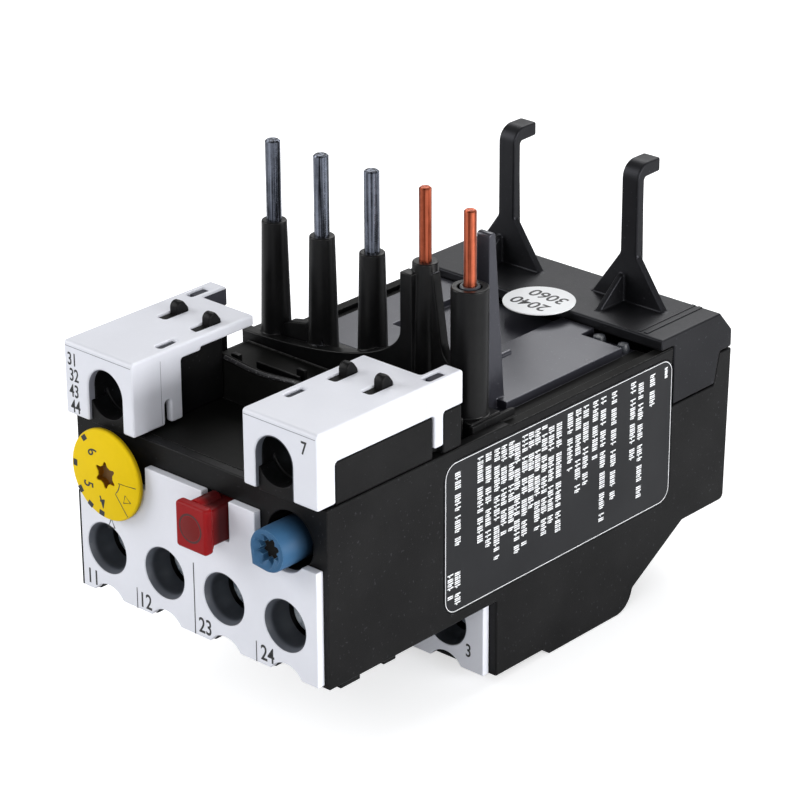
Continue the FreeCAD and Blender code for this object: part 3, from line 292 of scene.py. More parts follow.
def yellow_plastic():
    """Setting dial: painted shade turns its driver recess brown and its rim olive where it turns away from
    the light.
    """
    finish = moulded("yellow_plastic", linear(226, 192, 0), 0.45, grain=0.006, cloud=0.03,
                     edge_wear_and_light=linear(240, 206, 10), gloss=0.1)
    x, y, z = finish.axes()
    off = (x - DIAL[0]) * (x - DIAL[0]) + (z - DIAL[2]) * (z - DIAL[2])
    plain = Value(finish.tree, finish.shader.inputs["Base Color"].links[0].from_socket)
    # Painted shade: brown inside the driver recess, olive on the side of the rim.
    recess = (1 - rise(off, 3.4, 4.4)) * rise(y, -1.3, -1.14)
    rim = rise(off, 37.5, 40.0) * rise(y, -1.25, -0.8)
    shaded = mixed(recess, plain, linear(112, 66, 8))
    finish.set(Base_Color=mixed(rim * 0.8, shaded, linear(134, 110, 0)))
    return finish


def red_plastic():
    """Test button: bright head, and painted shade that darkens the shank behind it."""
    finish = moulded("red_plastic", linear(142, 14, 18), 0.42, grain=0.008, cloud=0.04,
                     edge_wear_and_light=linear(190, 50, 52), gloss=0.14)
    # Painted shade on the shank, darker further behind the head.
    return shade_by_depth(finish, -2.95, -1.2, linear(66, 8, 10))


def blue_plastic():
    """Reset knob: pale rim, and painted shade that darkens it further down in its well."""
    finish = moulded("blue_plastic", linear(54, 94, 130), 0.5, grain=0.012, cloud=0.05,
                     edge_wear_and_light=linear(134, 180, 210), gloss=0.15)
    # Painted shade, darker further into the well.
    return shade_by_depth(finish, -2.8, 2.4, linear(15, 28, 42))


def pit_shade_black():
    """Painted shade: near-black for the unlit insides of the covers and for sheets laid where shade falls;
    almost no light comes back from it.
    """
    return moulded("pit_shade_black", linear(8, 8, 7), 0.6, grain=0.01, edge_wear_and_light=linear(84, 84, 84), gloss=0.12)


def funnel_shade_grey():
    """Painted shade: dark grey of white plastic in shade, lining the terminal funnels and the right arch; the
    pocket domes and coil sleeve ring wear the same grey.
    """
    finish = moulded("funnel_shade_grey", linear(92, 96, 104), 0.4, grain=0.006)
    # Painted shade, darker further into the funnel.
    return shade_by_depth(finish, 0.7, 1.25, linear(52, 55, 61))


def dial_shade():
    """Painted shade: brown bottom of the dial's driver recess."""
    return moulded("dial_shade", linear(96, 62, 6), 0.6, grain=0.01)


def red_shade():
    """Painted shade of the test button's ring groove."""
    return moulded("red_shade", linear(70, 8, 10), 0.6, grain=0.006)


def red_matt():
    """Duller red of the test button's round centre."""
    return moulded("red_matt", linear(112, 22, 22), 0.6, grain=0.012, cloud=0.06, gloss=0.2)


def seam_and_shade_grey():
    """Grey of thin seams in the white mouldings, and painted shade on the left arch's inner face."""
    return moulded("seam_and_shade_grey", linear(128, 130, 140), 0.6, grain=0.004)


def ivory_plastic():
    """Warm off-white of the parts inside."""
    return moulded("ivory_plastic", linear(226, 218, 196), 0.45, grain=0.01, cloud=0.03)


def label_film():
    """Near-black film of the side label."""
    return moulded("label_film", linear(22, 23, 26), 0.4, grain=0.004, cloud=0.03, gloss=0.24)


def white_label():
    """Paper-white sticker on the hood."""
    return moulded("white_label", linear(236, 238, 240), 0.42, grain=0.003, cloud=0.01)


def print_black():
    """Black ink."""
    return moulded("print_black", linear(30, 31, 34), 0.5, grain=0.003, cloud=0.05)


def print_white():
    """White ink."""
    return moulded("print_white", linear(232, 234, 236), 0.5, grain=0.003, cloud=0.02)


def drawn_metal(name, colour, dark, roughness, scratch):
    """Metal with fine lengthwise drawing marks and a patchy dull skin."""
    finish = Finish(name)
    along = finish.base.node("Mapping", {}, {"Vector": finish.place, "Scale": scratch})
    marks = finish.noise(2.2, 5.0, 0.65, along)
    patch = finish.noise(0.55, 4.0, 0.6)
    finish.set(Base_Color=mixed(rise(patch + marks * 0.35, 0.42, 0.95), dark, colour), Metallic=1.0,
               Roughness=roughness + 0.22 * (patch - 0.5) + 0.15 * (marks - 0.5))
    finish.bump(marks, 0.012)
    return finish


def streaked_wire(name, bright, dark, roughness, fineness):
    """Drawn wire with lengthwise relief whose colour runs from dark grooves to bright ridges: painted shade
    in the grooves and painted highlights on the ridges.
    """
    finish = Finish(name)
    along = finish.base.node("Mapping", {}, {"Vector": finish.place, "Scale": (1.0, 1.0, 0.02)})
    streak = finish.noise(fineness, 4.0, 0.55, along)
    patch = finish.noise(0.7, 4.0, 0.6)
    fine = finish.noise(6.0, 3.0, 0.6)
    # Painted shade and highlight: the streaks darken the grooves and brighten the ridges in the metal's
    # colour.
    groove = rise(streak + 0.16 * (patch - 0.5) + 0.06 * (fine - 0.5), 0.34, 0.66)
    finish.set(Base_Color=mixed(groove, dark, bright), Metallic=1.0,
               Roughness=roughness + 0.25 * (patch - 0.5))
    finish.bump(streak, 0.05)
    return finish


UPRIGHT = (1.6, 1.6, 0.12)
EVEN = (1.0, 1.0, 1.0)


def tinned_wire():
    """Grey tinned main pins."""
    return streaked_wire("tinned_wire", linear(138, 144, 158), linear(18, 19, 23), 0.26, 2.2)


def copper_wire():
    """Bare copper of the two thin pins."""
    return streaked_wire("copper_wire", linear(204, 108, 78), linear(118, 54, 36), 0.36, 2.4)


def plated_steel():
    """Zinc-plated screws, washers and strips."""
    return drawn_metal("plated_steel", linear(198, 205, 214), linear(140, 150, 162), 0.28, EVEN)


def screw_glint_steel():
    """Zinc plate of the deep terminal screws, painted pale and little metallic so that its diffuse brightness
    stands in for glints in the dim funnels.
    """
    finish = drawn_metal("screw_glint_steel", linear(240, 248, 255), linear(96, 116, 138), 0.2, EVEN)
    finish.set(Metallic=0.25)
    return finish


def brass():
    """Yellow metal of the current path."""
    return drawn_metal("brass", linear(214, 178, 104), linear(164, 128, 70), 0.32, EVEN)


def bimetal():
    """Dull bimetal strips."""
    return drawn_metal("bimetal", linear(176, 172, 164), linear(122, 116, 108), 0.35, UPRIGHT)


def heater_wire():
    """Dark resistance wire."""
    return drawn_metal("heater_wire", linear(150, 146, 140), linear(92, 86, 82), 0.42, EVEN)


def spring_steel():
    """Bright spring wire."""
    return drawn_metal("spring_steel", linear(184, 186, 190), linear(120, 122, 126), 0.26, EVEN)


def silver_contact():
    """Pale contact pads."""
    return drawn_metal("silver_contact", linear(226, 226, 222), linear(176, 174, 168), 0.24, EVEN)


FINISHES = (
    black_plastic, carrier_plastic, lip_black, shaded_white, deck_plastic, hood_plastic, white_plastic,
    yellow_plastic, red_plastic, blue_plastic, pit_shade_black, funnel_shade_grey, dial_shade, red_shade, red_matt,
    seam_and_shade_grey, ivory_plastic, label_film, white_label, print_black, print_white, tinned_wire, copper_wire,
    plated_steel, screw_glint_steel, brass, bimetal, heater_wire, spring_steel, silver_contact)
finishes = {make.__name__: make().material for make in FINISHES}


# ---------------------------------------------------------------- pieces
def piece(name, mesh, body, slot, finish=None):
    """A new object from a mesh, moving with a CAD body and wearing a finish."""
    obj = bpy.data.objects.new(name, mesh)
    bpy.context.scene.collection.objects.link(obj)
    mesh.materials.clear()
    mesh.materials.append(finishes[finish or slot])
    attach(obj, body)
    return obj


bodies = frame["record"]["behaviour"]["bodies"]
body_of = {node: body for body, members in bodies.items() for node in members}
slot_of = {part["node"]: part["material_slot"] for part in frame["record"]["subparts"]}

# The terminal screws wear the pale steel that stands in for glints.
finish_of = dict(slot_of, front_terminal_screws="screw_glint_steel", load_terminal_screws="screw_glint_steel",
                 pin_carrier="carrier_plastic")
SHARP = 28
MERGE_NEAR = 0.002
FLAT_WITHIN = 1.0
for name, obj in nodes.items():
    obj.data.materials.clear()
    obj.data.materials.append(finishes[finish_of[name]])


def edge_rounds(obj, radius, segments):
    """Adds a Bevel modifier that makes quarter rounds of sharp edges, and one that keeps flat faces flat."""
    bevel = obj.modifiers.new("edge_rounds", "BEVEL")
    bevel.width = radius * MM
    bevel.segments = segments
    bevel.limit_method = "ANGLE"
    bevel.angle_limit = math.radians(SHARP)
    weigh = obj.modifiers.new("flat_faces", "WEIGHTED_NORMAL")
    weigh.keep_sharp = True
    return bevel


def rounded(node, radius):
    """Stands for a CAD node: a copy with its seams merged, flat faces rejoined and sharp edges rounded."""
    mesh = nodes[node].data.copy()
    shape = bmesh.new()
    shape.from_mesh(mesh)
    bmesh.ops.remove_doubles(shape, verts=shape.verts, dist=MERGE_NEAR * MM)
    bmesh.ops.dissolve_limit(shape, angle_limit=math.radians(FLAT_WITHIN), verts=shape.verts,
                             edges=shape.edges)
    for face in shape.faces:
        face.smooth = True
    shape.to_mesh(mesh)
    shape.free()
    copy = piece(node + "_moulding", mesh, body_of[node], slot_of[node], finish_of[node])
    bevel = edge_rounds(copy, radius, 3)
    bevel.use_clamp_overlap = False
    bevel.miter_outer = "MITER_ARC"
    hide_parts(node)


ROUNDS = {
    "base_housing": 0.22, "front_plate": 0.16, "load_plate": 0.16, "left_shroud": 0.3, "right_shroud": 0.3,
    "left_terminal_block": 0.3, "right_terminal_block": 0.3, "pin_carrier": 0.2,
    "top_cover": 0.15, "rear_hood": 0.3, "hood_sticker": 0.05, "side_label": 0.03,
    "test_button": 0.42,
    "front_terminal_screws": 0.12, "load_terminal_screws": 0.12, "shroud_terminal_screws": 0.12,
    "front_terminal_washers": 0.08, "load_terminal_washers": 0.08, "shroud_terminal_washers": 0.08,
}
for node, radius in ROUNDS.items():
    rounded(node, radius)


# ---------------------------------------------------------------- shapes
def outward(name, points, faces, smooth=True):
    """A closed mesh from points in working-frame millimetres, coincident points merged, faces outward."""
    mesh = bpy.data.meshes.new(name)
    places = np.asarray(points) * MM + np.array(ORIGIN)
    mesh.from_pydata(places.tolist(), [], [list(face) for face in faces])
    shape = bmesh.new()
    shape.from_mesh(mesh)
    bmesh.ops.remove_doubles(shape, verts=shape.verts, dist=0.001 * MM)
    bmesh.ops.recalc_face_normals(shape, faces=shape.faces)
    for face in shape.faces:
        face.smooth = smooth
    shape.to_mesh(mesh)
    shape.free()
    if smooth:
        mesh.set_sharp_from_angle(angle=math.radians(32))
    return mesh


def turned(name, profile, centre, count=72, lobes=None, axis="Y"):
    """A body of revolution: ring i has the radius r_i * lobes_i(angle) and lies a_i along the axis.

    profile is a closed loop of (radius, along) pairs, or starts and ends on the axis.
    """
    profile = np.array(profile, dtype=float)
    angle = np.linspace(0, 2 * math.pi, count, endpoint=False)
    radius = profile[:, :1] * np.ones(count)
    if lobes:
        for ring, factor in lobes.items():
            radius[ring] *= factor(angle)
    across, up = radius * np.sin(angle), radius * np.cos(angle)
    along = np.broadcast_to(profile[:, 1:], radius.shape)
    if axis == "Y":
        grid = np.stack([across, along, up], -1)
    else:
        grid = np.stack([across, up, along], -1)
    points = grid.reshape(-1, 3) + np.array(centre)
    rings = len(profile)
    last = rings - 1 if profile[0, 0] == 0 else rings
    i, j = np.meshgrid(np.arange(last), np.arange(count), indexing="ij")
    k, m = (i + 1) % rings, (j + 1) % count
    faces = np.stack([i * count + j, i * count + m, k * count + m, k * count + j], -1).reshape(-1, 4)
    return outward(name, points, faces.tolist())


PLANES = {
    "front": (Vector((1, 0, 0)), Vector((0, 0, 1))),
    "right": (Vector((0, 1, 0)), Vector((0, 0, 1))),
    "top": (Vector((1, 0, 0)), Vector((0, 1, 0))),
}


def slab(name, outline, near, far, plane):
    """A flat outline in the plane, drawn out from near to far along the plane's normal axis."""
    right, up = (np.array(v) for v in PLANES[plane])
    out = np.abs(np.cross(right, up))
    outline = np.array(outline, dtype=float)
    base = outline[:, :1] * right + outline[:, 1:] * up
    points = np.concatenate([base + near * out, base + far * out])
    n = len(outline)
    i = np.arange(n)
    walls = np.stack([i, (i + 1) % n, (i + 1) % n + n, i + n], 1).tolist()
    return outward(name, points, walls + [list(range(n)), list(range(n, 2 * n))], smooth=False)


def soften(obj, radius, segments=3):
    """Small quarter rounds on a piece's sharp edges."""
    edge_rounds(obj, radius, segments)
    for face in obj.data.polygons:
        face.use_smooth = True
    return obj


def block(name, x, y, z, finish="black_plastic", round_by=0.12, slot="black_plastic"):
    """A small moulded bar with rounded edges, from its spans along X, Y and Z."""
    outline = [(y[0], z[0]), (y[1], z[0]), (y[1], z[1]), (y[0], z[1])]
    bar = piece(name, slab(name, outline, x[0], x[1], "right"), "relay", slot, finish)
    return soften(bar, round_by)


def arc(x, y, radius, start, end, count=12):
    """Points along a circle, the angles in degrees."""
    angle = np.radians(np.linspace(start, end, count))
    return np.stack([x + radius * np.cos(angle), y + radius * np.sin(angle)], 1)


def quads(name, origin, plane, corners):
    """Ink that lies on a face: an array of four-cornered flecks, corners anticlockwise seen from outside."""
    right, up = (np.array(v) for v in PLANES[plane])
    corners = np.asarray(corners, dtype=float)
    points = corners[..., :1] * right + corners[..., 1:] * up + np.array(origin)
    mesh = bpy.data.meshes.new(name)
    faces = np.arange(len(corners) * 4).reshape(-1, 4)
    mesh.from_pydata((points.reshape(-1, 3) * MM + np.array(ORIGIN)).tolist(), [], faces.tolist())
    return mesh


def bars(rows):
    """Corners of rectangles given as rows of centre u, centre v, width, height and turn in degrees."""
    rows = np.asarray(rows, dtype=float)
    turn = np.radians(rows[:, 4])[:, None]
    u = np.array([-0.5, 0.5, 0.5, -0.5]) * rows[:, 2:3]
    v = np.array([-0.5, -0.5, 0.5, 0.5]) * rows[:, 3:4]
    return np.stack([rows[:, :1] + u * np.cos(turn) - v * np.sin(turn),
                     rows[:, 1:2] + u * np.sin(turn) + v * np.cos(turn)], -1)


def ribbon(path, width, closed=False):
    """Corners of the short quads that make a line of that width along a path."""
    path = np.asarray(path, dtype=float)
    nexts = np.roll(path, -1, 0)
    run = nexts - path
    if not closed:
        run[-1] = run[-2]
    side = np.stack([-run[:, 1], run[:, 0]], 1)
    side /= np.linalg.norm(side, axis=1)[:, None]
    left, right = path + side * width / 2, path - side * width / 2
    quad = np.stack([right, np.roll(right, -1, 0), np.roll(left, -1, 0), left], 1)
    return quad if closed else quad[:-1]


def numerals(name, entries, plane, squeeze=0.8):
    """Plain digits as thin raised ink: entries of text, place in the working frame, height and turn."""
    right, up = PLANES[plane]
    out = right.cross(up)
    whole = bmesh.new()
    for text, place, height, turn in entries:
        curve = bpy.data.curves.new(name, "FONT")
        curve.body = text
        curve.size = height / 0.7 * MM
        curve.align_x = "CENTER"
        curve.align_y = "CENTER"
        curve.offset = 0.035 * MM
        curve.extrude = 0.008 * MM
        holder = bpy.data.objects.new(name, curve)
        mesh = bpy.data.meshes.new_from_object(holder)
        frame_of = Matrix((right, up, out)).transposed().to_4x4()
        narrow = Matrix.Diagonal((squeeze, 1, 1, 1))
        turned_by = Matrix.Rotation(math.radians(turn), 4, "Z")
        mesh.transform(Matrix.Translation(at(*place)) @ frame_of @ turned_by @ narrow)
        whole.from_mesh(mesh)
        bpy.data.objects.remove(holder)
    result = bpy.data.meshes.new(name)
    whole.to_mesh(result)
    whole.free()
    return result


def ink(name, origin, plane, corners, body, slot, colour):
    """Printed flecks on a face, moving with a CAD body."""
    piece(name, quads(name, origin, plane, corners), body, slot, colour)


def digits(name, entries, plane, body, slot, squeeze=0.8):
    """Printed black digits on a face, moving with a CAD body."""
    piece(name, numerals(name, entries, plane, squeeze), body, slot, "print_black")


# ---------------------------------------------------------------- terminals and front plate
FRONT_X = (-16.40, -5.58, 5.24, 16.06)
TERMINAL_Z = 7.38
LOAD_X = (-14.5, 0.0, 14.5)
LOAD_Z = -5.1
LOAD_FRONT = 32.2
ON_PLATE = (0, -0.02, 0)


def funnel(name, x, front, z):
    """Lining of a terminal's way in, coloured with painted shade: a thin cone that narrows to the screw."""
    profile = [(3.61, 0.1), (3.27, 4.0), (3.36, 4.06), (3.2, 4.08), (3.22, 2.4), (3.18, 1.2), (3.5, 0.35),
               (3.57, 0.1)]
    mesh = turned(name, profile, (x, front, z))
    return piece(name, mesh, "relay", "black_plastic", "funnel_shade_grey")


def screw_cap(name, x, z, turn):
    """Low dome with a crossed recess on a deep terminal screw."""
    dome = [(0, 4.5), (0.7, 4.48), (0.8, 4.12), (1.6, 4.14), (2.4, 4.26), (2.9, 4.6), (3.05, 5.52), (0, 5.52)]

    def cross(angle):
        """Four wide and four narrow arms."""
        return 0.9 + 0.45 * np.cos(2 * angle + turn) ** 8 + 0.6 * np.sin(2 * angle + turn) ** 16

    mesh = turned(name, dome, (x, 0, z), 96, {1: cross, 2: cross})
    piece(name, mesh, "relay", "plated_steel", "screw_glint_steel")


for k, x in enumerate(FRONT_X, 1):
    funnel(f"front_funnel_{k}", x, 0.0, TERMINAL_Z)
    screw_cap(f"front_screw_cap_{k}", x, TERMINAL_Z, 0.7 * k)
for k, x in enumerate(LOAD_X, 1):
    funnel(f"load_funnel_{k}", x, LOAD_FRONT, LOAD_Z)

plate_lines = bars([(-0.1, 5.7, 0.16, 10.3, 0), (-10.9, 2.0, 0.14, 3.1, 0), (10.95, 2.0, 0.14, 3.0, 0)])
ink("plate_lines", ON_PLATE, "front", plate_lines, "relay", "black_plastic", "print_black")
plate_digits = [("11", (-19.35, -0.01, 2.15), 2.15, 0), ("12", (-9.35, -0.01, 1.95), 2.15, 0),
                ("23", (1.75, -0.01, 2.1), 2.15, 0), ("24", (12.9, -0.01, 2.1), 2.15, 0)]
digits("plate_numbers", plate_digits, "front", "relay", "black_plastic")
pointer = ribbon([(-15.97, 10.75), (-14.64, 10.9), (-15.25, 12.15)], 0.2, closed=True)
ink("dial_pointer", ON_PLATE, "front", pointer, "relay", "black_plastic", "print_black")
load_digits = [("6", (8.6, 32.19, -3.0), 1.9, 0), ("3", (18.6, 32.19, -8.4), 1.9, 0)]
digits("load_numbers", load_digits, "front", "relay", "black_plastic")


# ---------------------------------------------------------------- current dial
ON_DIAL = (0, -1.315, 0)


def dial():
    """Disc with a rounded rim, a six-lobed driver recess, and the shaft behind it, all in one turning."""
    profile = [(0, -0.35), (1.45, -0.35), (1.62, -0.5), (1.7, -1.2), (1.82, -1.3), (5.95, -1.3), (6.2, -1.22),
               (6.35, -1.0), (6.35, -0.62), (6.2, -0.5), (2.4, -0.5), (2.2, -0.4), (2.2, 8.0), (0, 8.0)]

    def lobed(angle):
        """Six round lobes."""
        return 0.88 + 0.17 * np.cos(6 * angle) + 0.05 * np.cos(12 * angle)

    star = {ring: lobed for ring in (1, 2, 3, 4)}
    obj = piece("dial_disc", turned("dial_disc", profile, DIAL, 144, star), "setting_dial", "yellow_plastic")
    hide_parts("current_dial", "dial_spindle")
    # The recess bottom is a disc coloured with painted shade.
    bottom = [(0, -0.3), (1.6, -0.3), (1.6, -0.42), (0, -0.42)]
    recess = turned("dial_recess", bottom, DIAL, 72, {1: lobed, 2: lobed})
    piece("dial_recess", recess, "setting_dial", "yellow_plastic", "dial_shade")


def dial_print():
    """Rim blocks, digits and the boxed sector of the setting scale."""
    x, _, z = DIAL
    places = np.array([(-3.7, 4.3), (-5.6, 0.2), (-4.75, -3.35), (-3.0, -5.0), (-0.9, -5.65)])
    turns = np.degrees(np.arctan2(places[:, 1], places[:, 0]))
    every = np.ones(len(places))
    rows = np.column_stack([places[:, 0] + x, places[:, 1] + z, 0.75 * every, 0.95 * every, turns])
    ink("dial_blocks", ON_DIAL, "front", bars(rows), "setting_dial", "yellow_plastic", "print_black")
    entries = [("6", (x - 2.35, -1.31, z + 2.7), 1.7, -62), ("5", (x - 3.3, -1.31, z - 2.2), 1.7, -90),
               ("4", (x - 0.7, -1.31, z - 3.9), 1.7, -160)]
    digits("dial_numbers", entries, "front", "setting_dial", "yellow_plastic")
    sector = np.concatenate([[(x + 5.75, z - 0.1), (x + 2.5, z - 0.35)], arc(x, z, 2.75, -10, -48, 6),
                             [(x + 4.0, z - 4.7)]])
    mark = ribbon([(x + 3.3, z - 2.9), (x + 4.7, z - 2.55), (x + 3.7, z - 1.7)], 0.14, closed=True)
    lines = np.concatenate([ribbon(sector, 0.14), mark])
    ink("dial_sector", ON_DIAL, "front", lines, "setting_dial", "yellow_plastic", "print_black")


dial()
dial_print()


# ---------------------------------------------------------------- buttons
TEST_X, TEST_Z = 4.15, 18.7
RESET = (16.1, 0, 19.0)


def test_button():
    """Ring groove drawn as a ring of painted shade, duller disc on the red head, and the round rib on the
    body behind it.
    """
    x, z = TEST_X, TEST_Z
    disc = turned("test_disc", [(0, -4.43), (1.55, -4.43), (1.68, -4.36), (1.68, -4.2), (0, -4.2)], (x, 0, z))
    piece("test_disc", disc, "test_plunger", "red_plastic", "red_matt")
    # A flat ring coloured with painted shade stands for the groove.
    ring = turned("test_ring", [(1.7, -4.405), (2.02, -4.405), (2.02, -4.3), (1.7, -4.3)], (x, 0, z))
    piece("test_ring", ring, "test_plunger", "red_plastic", "red_shade")
    rib = turned("test_rib", [(0, -3.0), (0.95, -3.0), (1.0, -2.9), (1.0, 0.6), (0.8, 0.9), (0, 0.9)],
                 (x - 0.4, 0, z + 2.35))
    piece("test_rib", rib, "test_plunger", "red_plastic")


def reset_knob():
    """Blue knob: teardrop outline, thick rim and a deep eight-pointed recess whose bottom is painted black as
    shade.

    The outline is a circle of radius R whose two tangents meet at the pointer, L from the middle:
    r = R / cos(a - |t - t0|) inside a = acos(R / L).
    """
    radius, reach, aim = 2.9, 3.7, math.radians(225)
    half = math.acos(radius / reach)

    def drop(angle):
        """The outline's radius over that of its circle."""
        off = np.abs((angle - aim + math.pi) % (2 * math.pi) - math.pi)
        return np.where(off < half, 1 / np.cos(half - np.minimum(off, half)), 1.0)

    def star(angle):
        """Eight straight-sided points."""
        return 0.66 + 0.34 * np.abs((angle * 4 / math.pi + 0.4) % 1 * 2 - 1)

    profile = [(0, -0.6), (1.6, -0.6), (1.75, -0.9), (1.95, -2.55), (2.1, -2.8), (2.3, -3.0), (2.62, -3.0),
               (2.8, -2.93), (2.9, -2.75), (2.9, 2.7), (2.88, 2.82), (2.88, 5.0), (0, 5.0)]
    lobes = {ring: star for ring in (1, 2, 3)}
    lobes[4] = lambda angle: 1 + 0.4 * (star(angle) - 1)
    lobes.update({ring: drop for ring in (6, 7, 8, 9)})
    knob = turned("reset_knob_body", profile, RESET, 160, lobes)
    obj = piece("reset_knob_body", knob, "reset_knob", "blue_plastic")
    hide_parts("reset_button")
    # A disc of painted shade darkens the recess bottom.
    bottom = [(0, -0.55), (1.5, -0.55), (1.5, -1.9), (0, -1.9)]
    recess = turned("reset_recess", bottom, RESET, 160, {1: star, 2: star})
    piece("reset_recess", recess, "reset_knob", "blue_plastic", "pit_shade_black")


test_button()
reset_knob()


# ---------------------------------------------------------------- shrouds
ARCH_X = 15.1
SIDES = ((-1, "left"), (1, "right"))


def sill(side, name):
    """Black web that closes the foot of a shroud's arch with a half-round edge."""
    x = side * ARCH_X
    half, foot, top = 3.15, 25.02, 28.2
    edge = arc(x, 29.75, 3.35, 207, 333, 24)
    outline = np.concatenate([[(x - half, foot), (x - half, top)], edge, [(x + half, top), (x + half, foot)]])
    web = slab(name + "_sill", outline, 0.15, 2.85, "front")
    soften(piece(name + "_sill", web, "relay", "black_plastic"), 0.12)


def lip_line(side, name):
    """Moulded line under the top edge of a shroud's front."""
    low, high = sorted((side * 9.8, side * 22.5))
    line = bars([((low + high) / 2, 35.02, high - low - 0.5, 0.09, 0)])
    ink(name + "_lip_line", (0, -0.415, 0), "front", line, "relay", "white_plastic", "seam_and_shade_grey")


def arch_shade_liner(side, name):
    """Painted shade on the inner face of the arch: a strip 0.04 mm thick that follows it round, darker on the
    right.
    """
    x = side * ARCH_X
    wide, thin, foot = 3.19, 3.15, 25.5
    outer, inner = arc(x, 30.1, wide, 0, 180, 30), arc(x, 30.1, thin, 180, 0, 30)
    outline = np.concatenate([[(x + wide, foot)], outer, [(x - wide, foot), (x - thin, foot)], inner,
                              [(x + thin, foot)]])
    liner = slab(name + "_arch_liner", outline, -0.3 + 0.15 * (side < 0), 0.8, "front")
    # Painted shade: grey in the left arch, darker grey in the right one.
    piece(name + "_arch_liner", liner, "relay", "white_plastic", "seam_and_shade_grey" if side < 0 else "funnel_shade_grey")


def finger_web(side, name):
    """Solid web of the rear finger, which stands in the shade behind the shroud's step; its grey is painted
    shade.
    """
    low, high = sorted((side * 19.56, side * 22.3))
    block(name + "_finger_web", (low, high), (21.75, 26.42), (33.0, 35.36), "shaded_white", 0.1,
          "white_plastic")


for side, name in SIDES:
    sill(side, name)
    lip_line(side, name)
    arch_shade_liner(side, name)
    finger_web(side, name)
seam = bars([(4.6, 30.2, 0.07, 8.8, 0)])
ink("left_inner_seam", (-9.785, 0, 0), "right", seam, "relay", "white_plastic", "seam_and_shade_grey")
seam = bars([(19.4, 33.0, 0.05, 4.0, 0)])
ink("right_side_seam", (22.512, 0, 0), "right", seam, "relay", "white_plastic", "seam_and_shade_grey")
left_digits = [("31", (-21.0, -0.41, 33.2), 1.75, 0), ("32", (-20.75, -0.41, 31.0), 1.75, 0),
               ("43", (-20.85, -0.41, 28.75), 1.75, 0), ("44", (-20.7, -0.41, 26.6), 1.75, 0)]
digits("left_numbers", left_digits, "front", "relay", "white_plastic", 0.72)
digits("right_number", [("7", (20.3, -0.41, 33.3), 1.75, 0)], "front", "relay", "white_plastic")


# ---------------------------------------------------------------- covers, deck and hood
STATIONS = 90


def lip_height(x):
    """Height of the cover's sagging lip in millimetres: 31 - 0.7 exp(-((x + 5) / 5.5) ** 2)."""
    return 31 - 0.7 * np.exp(-((x + 5) / 5.5) ** 2)


def loft(rows, ring):
    """Faces of a ring of points carried along a row of stations, with both ends closed."""
    i, j = np.meshgrid(np.arange(rows - 1), np.arange(ring), indexing="ij")
    k = (j + 1) % ring
    faces = np.stack([i * ring + j, i * ring + k, i * ring + ring + k, i * ring + ring + j], -1)
    return faces.reshape(-1, 4).tolist() + [list(range(ring)), list(range((rows - 1) * ring, rows * ring))]


def front_cover():
    """Black cover between the shrouds: a dark pit, a thin wall up to the sagging lip, and a deep trough, all
    near-black with painted shade.
    """
    x = np.linspace(-19.35, 19.35, STATIONS)
    lip = lip_height(x)
    place = np.array([2.96, 2.96, 17.1, 17.35, 17.42, 17.55, 17.8, 18.1, 18.35, 18.5, 19.0, 20.0, 29.9,
                      30.0, 30.0])
    fixed = np.array([23.42, 24.9, 24.9, 25.3, 0, 0, 0, 0, 0, 0, 27.0, 26.6, 26.6, 26.8, 23.42])
    below = np.array([0, 0, 0, 0, 0.6, 0.18, 0.0, 0.0, 0.16, 0.6, 0, 0, 0, 0, 0])
    high = np.where(fixed[None] > 0, fixed[None], lip[:, None] - below[None])
    stations = np.broadcast_to(x[:, None], high.shape)
    points = np.stack([stations, np.broadcast_to(place, high.shape), high], -1).reshape(-1, 3)
    shell = outward("front_cover_shell", points, loft(*high.shape))
    # The whole cover wears near-black painted shade.
    obj = piece("front_cover_shell", shell, "relay", "black_plastic", "pit_shade_black")
    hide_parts("front_cover")


def cover_lip():
    """Round bead along the sagging lip: circles of the bead's radius strung along it."""
    bead, under = 0.27, 0.16
    x = np.linspace(-11.1, 19.3, STATIONS)
    lip = lip_height(x) - under
    turn = np.linspace(0, 2 * math.pi, 12, endpoint=False)
    y, z = 17.5 + bead * np.cos(turn), lip[:, None] + bead * np.sin(turn)
    points = np.stack([np.broadcast_to(x[:, None], z.shape), np.broadcast_to(y, z.shape), z], -1)
    mesh = outward("cover_lip", points.reshape(-1, 3), loft(*z.shape))
    # The bead's finish paints the highlight and glints along the lip.
    piece("cover_lip", mesh, "relay", "black_plastic", "lip_black")


def trough_details():
    """Rib, stops, sleeve gusset and round boss in the trough behind the wall."""
    block("trough_rib", (-10.2, -2.4), (22.3, 22.75), (26.7, 28.7))
    block("trough_stop_1", (-14.2, -12.8), (21.6, 22.4), (26.7, 29.0))
    block("trough_stop_2", (-4.4, -2.9), (23.9, 24.5), (26.7, 28.9))
    gusset = [(-15.0, 27.5), (-15.0, 29.6), (-13.9, 30.3), (-12.4, 30.6), (-10.8, 30.9), (-9.7, 31.6),
              (-9.7, 27.5)]
    mesh = slab("sleeve_gusset", gusset, 32.3, 34.0, "front")
    soften(piece("sleeve_gusset", mesh, "relay", "black_plastic"), 0.25)
    boss = turned("trough_boss", [(0, 26.7), (2.9, 26.7), (2.8, 28.6), (2.4, 29.5), (1.9, 29.8), (0, 29.9)],
                  (9.9, 24.6, 0), axis="Z")
    piece("trough_boss", boss, "relay", "black_plastic")


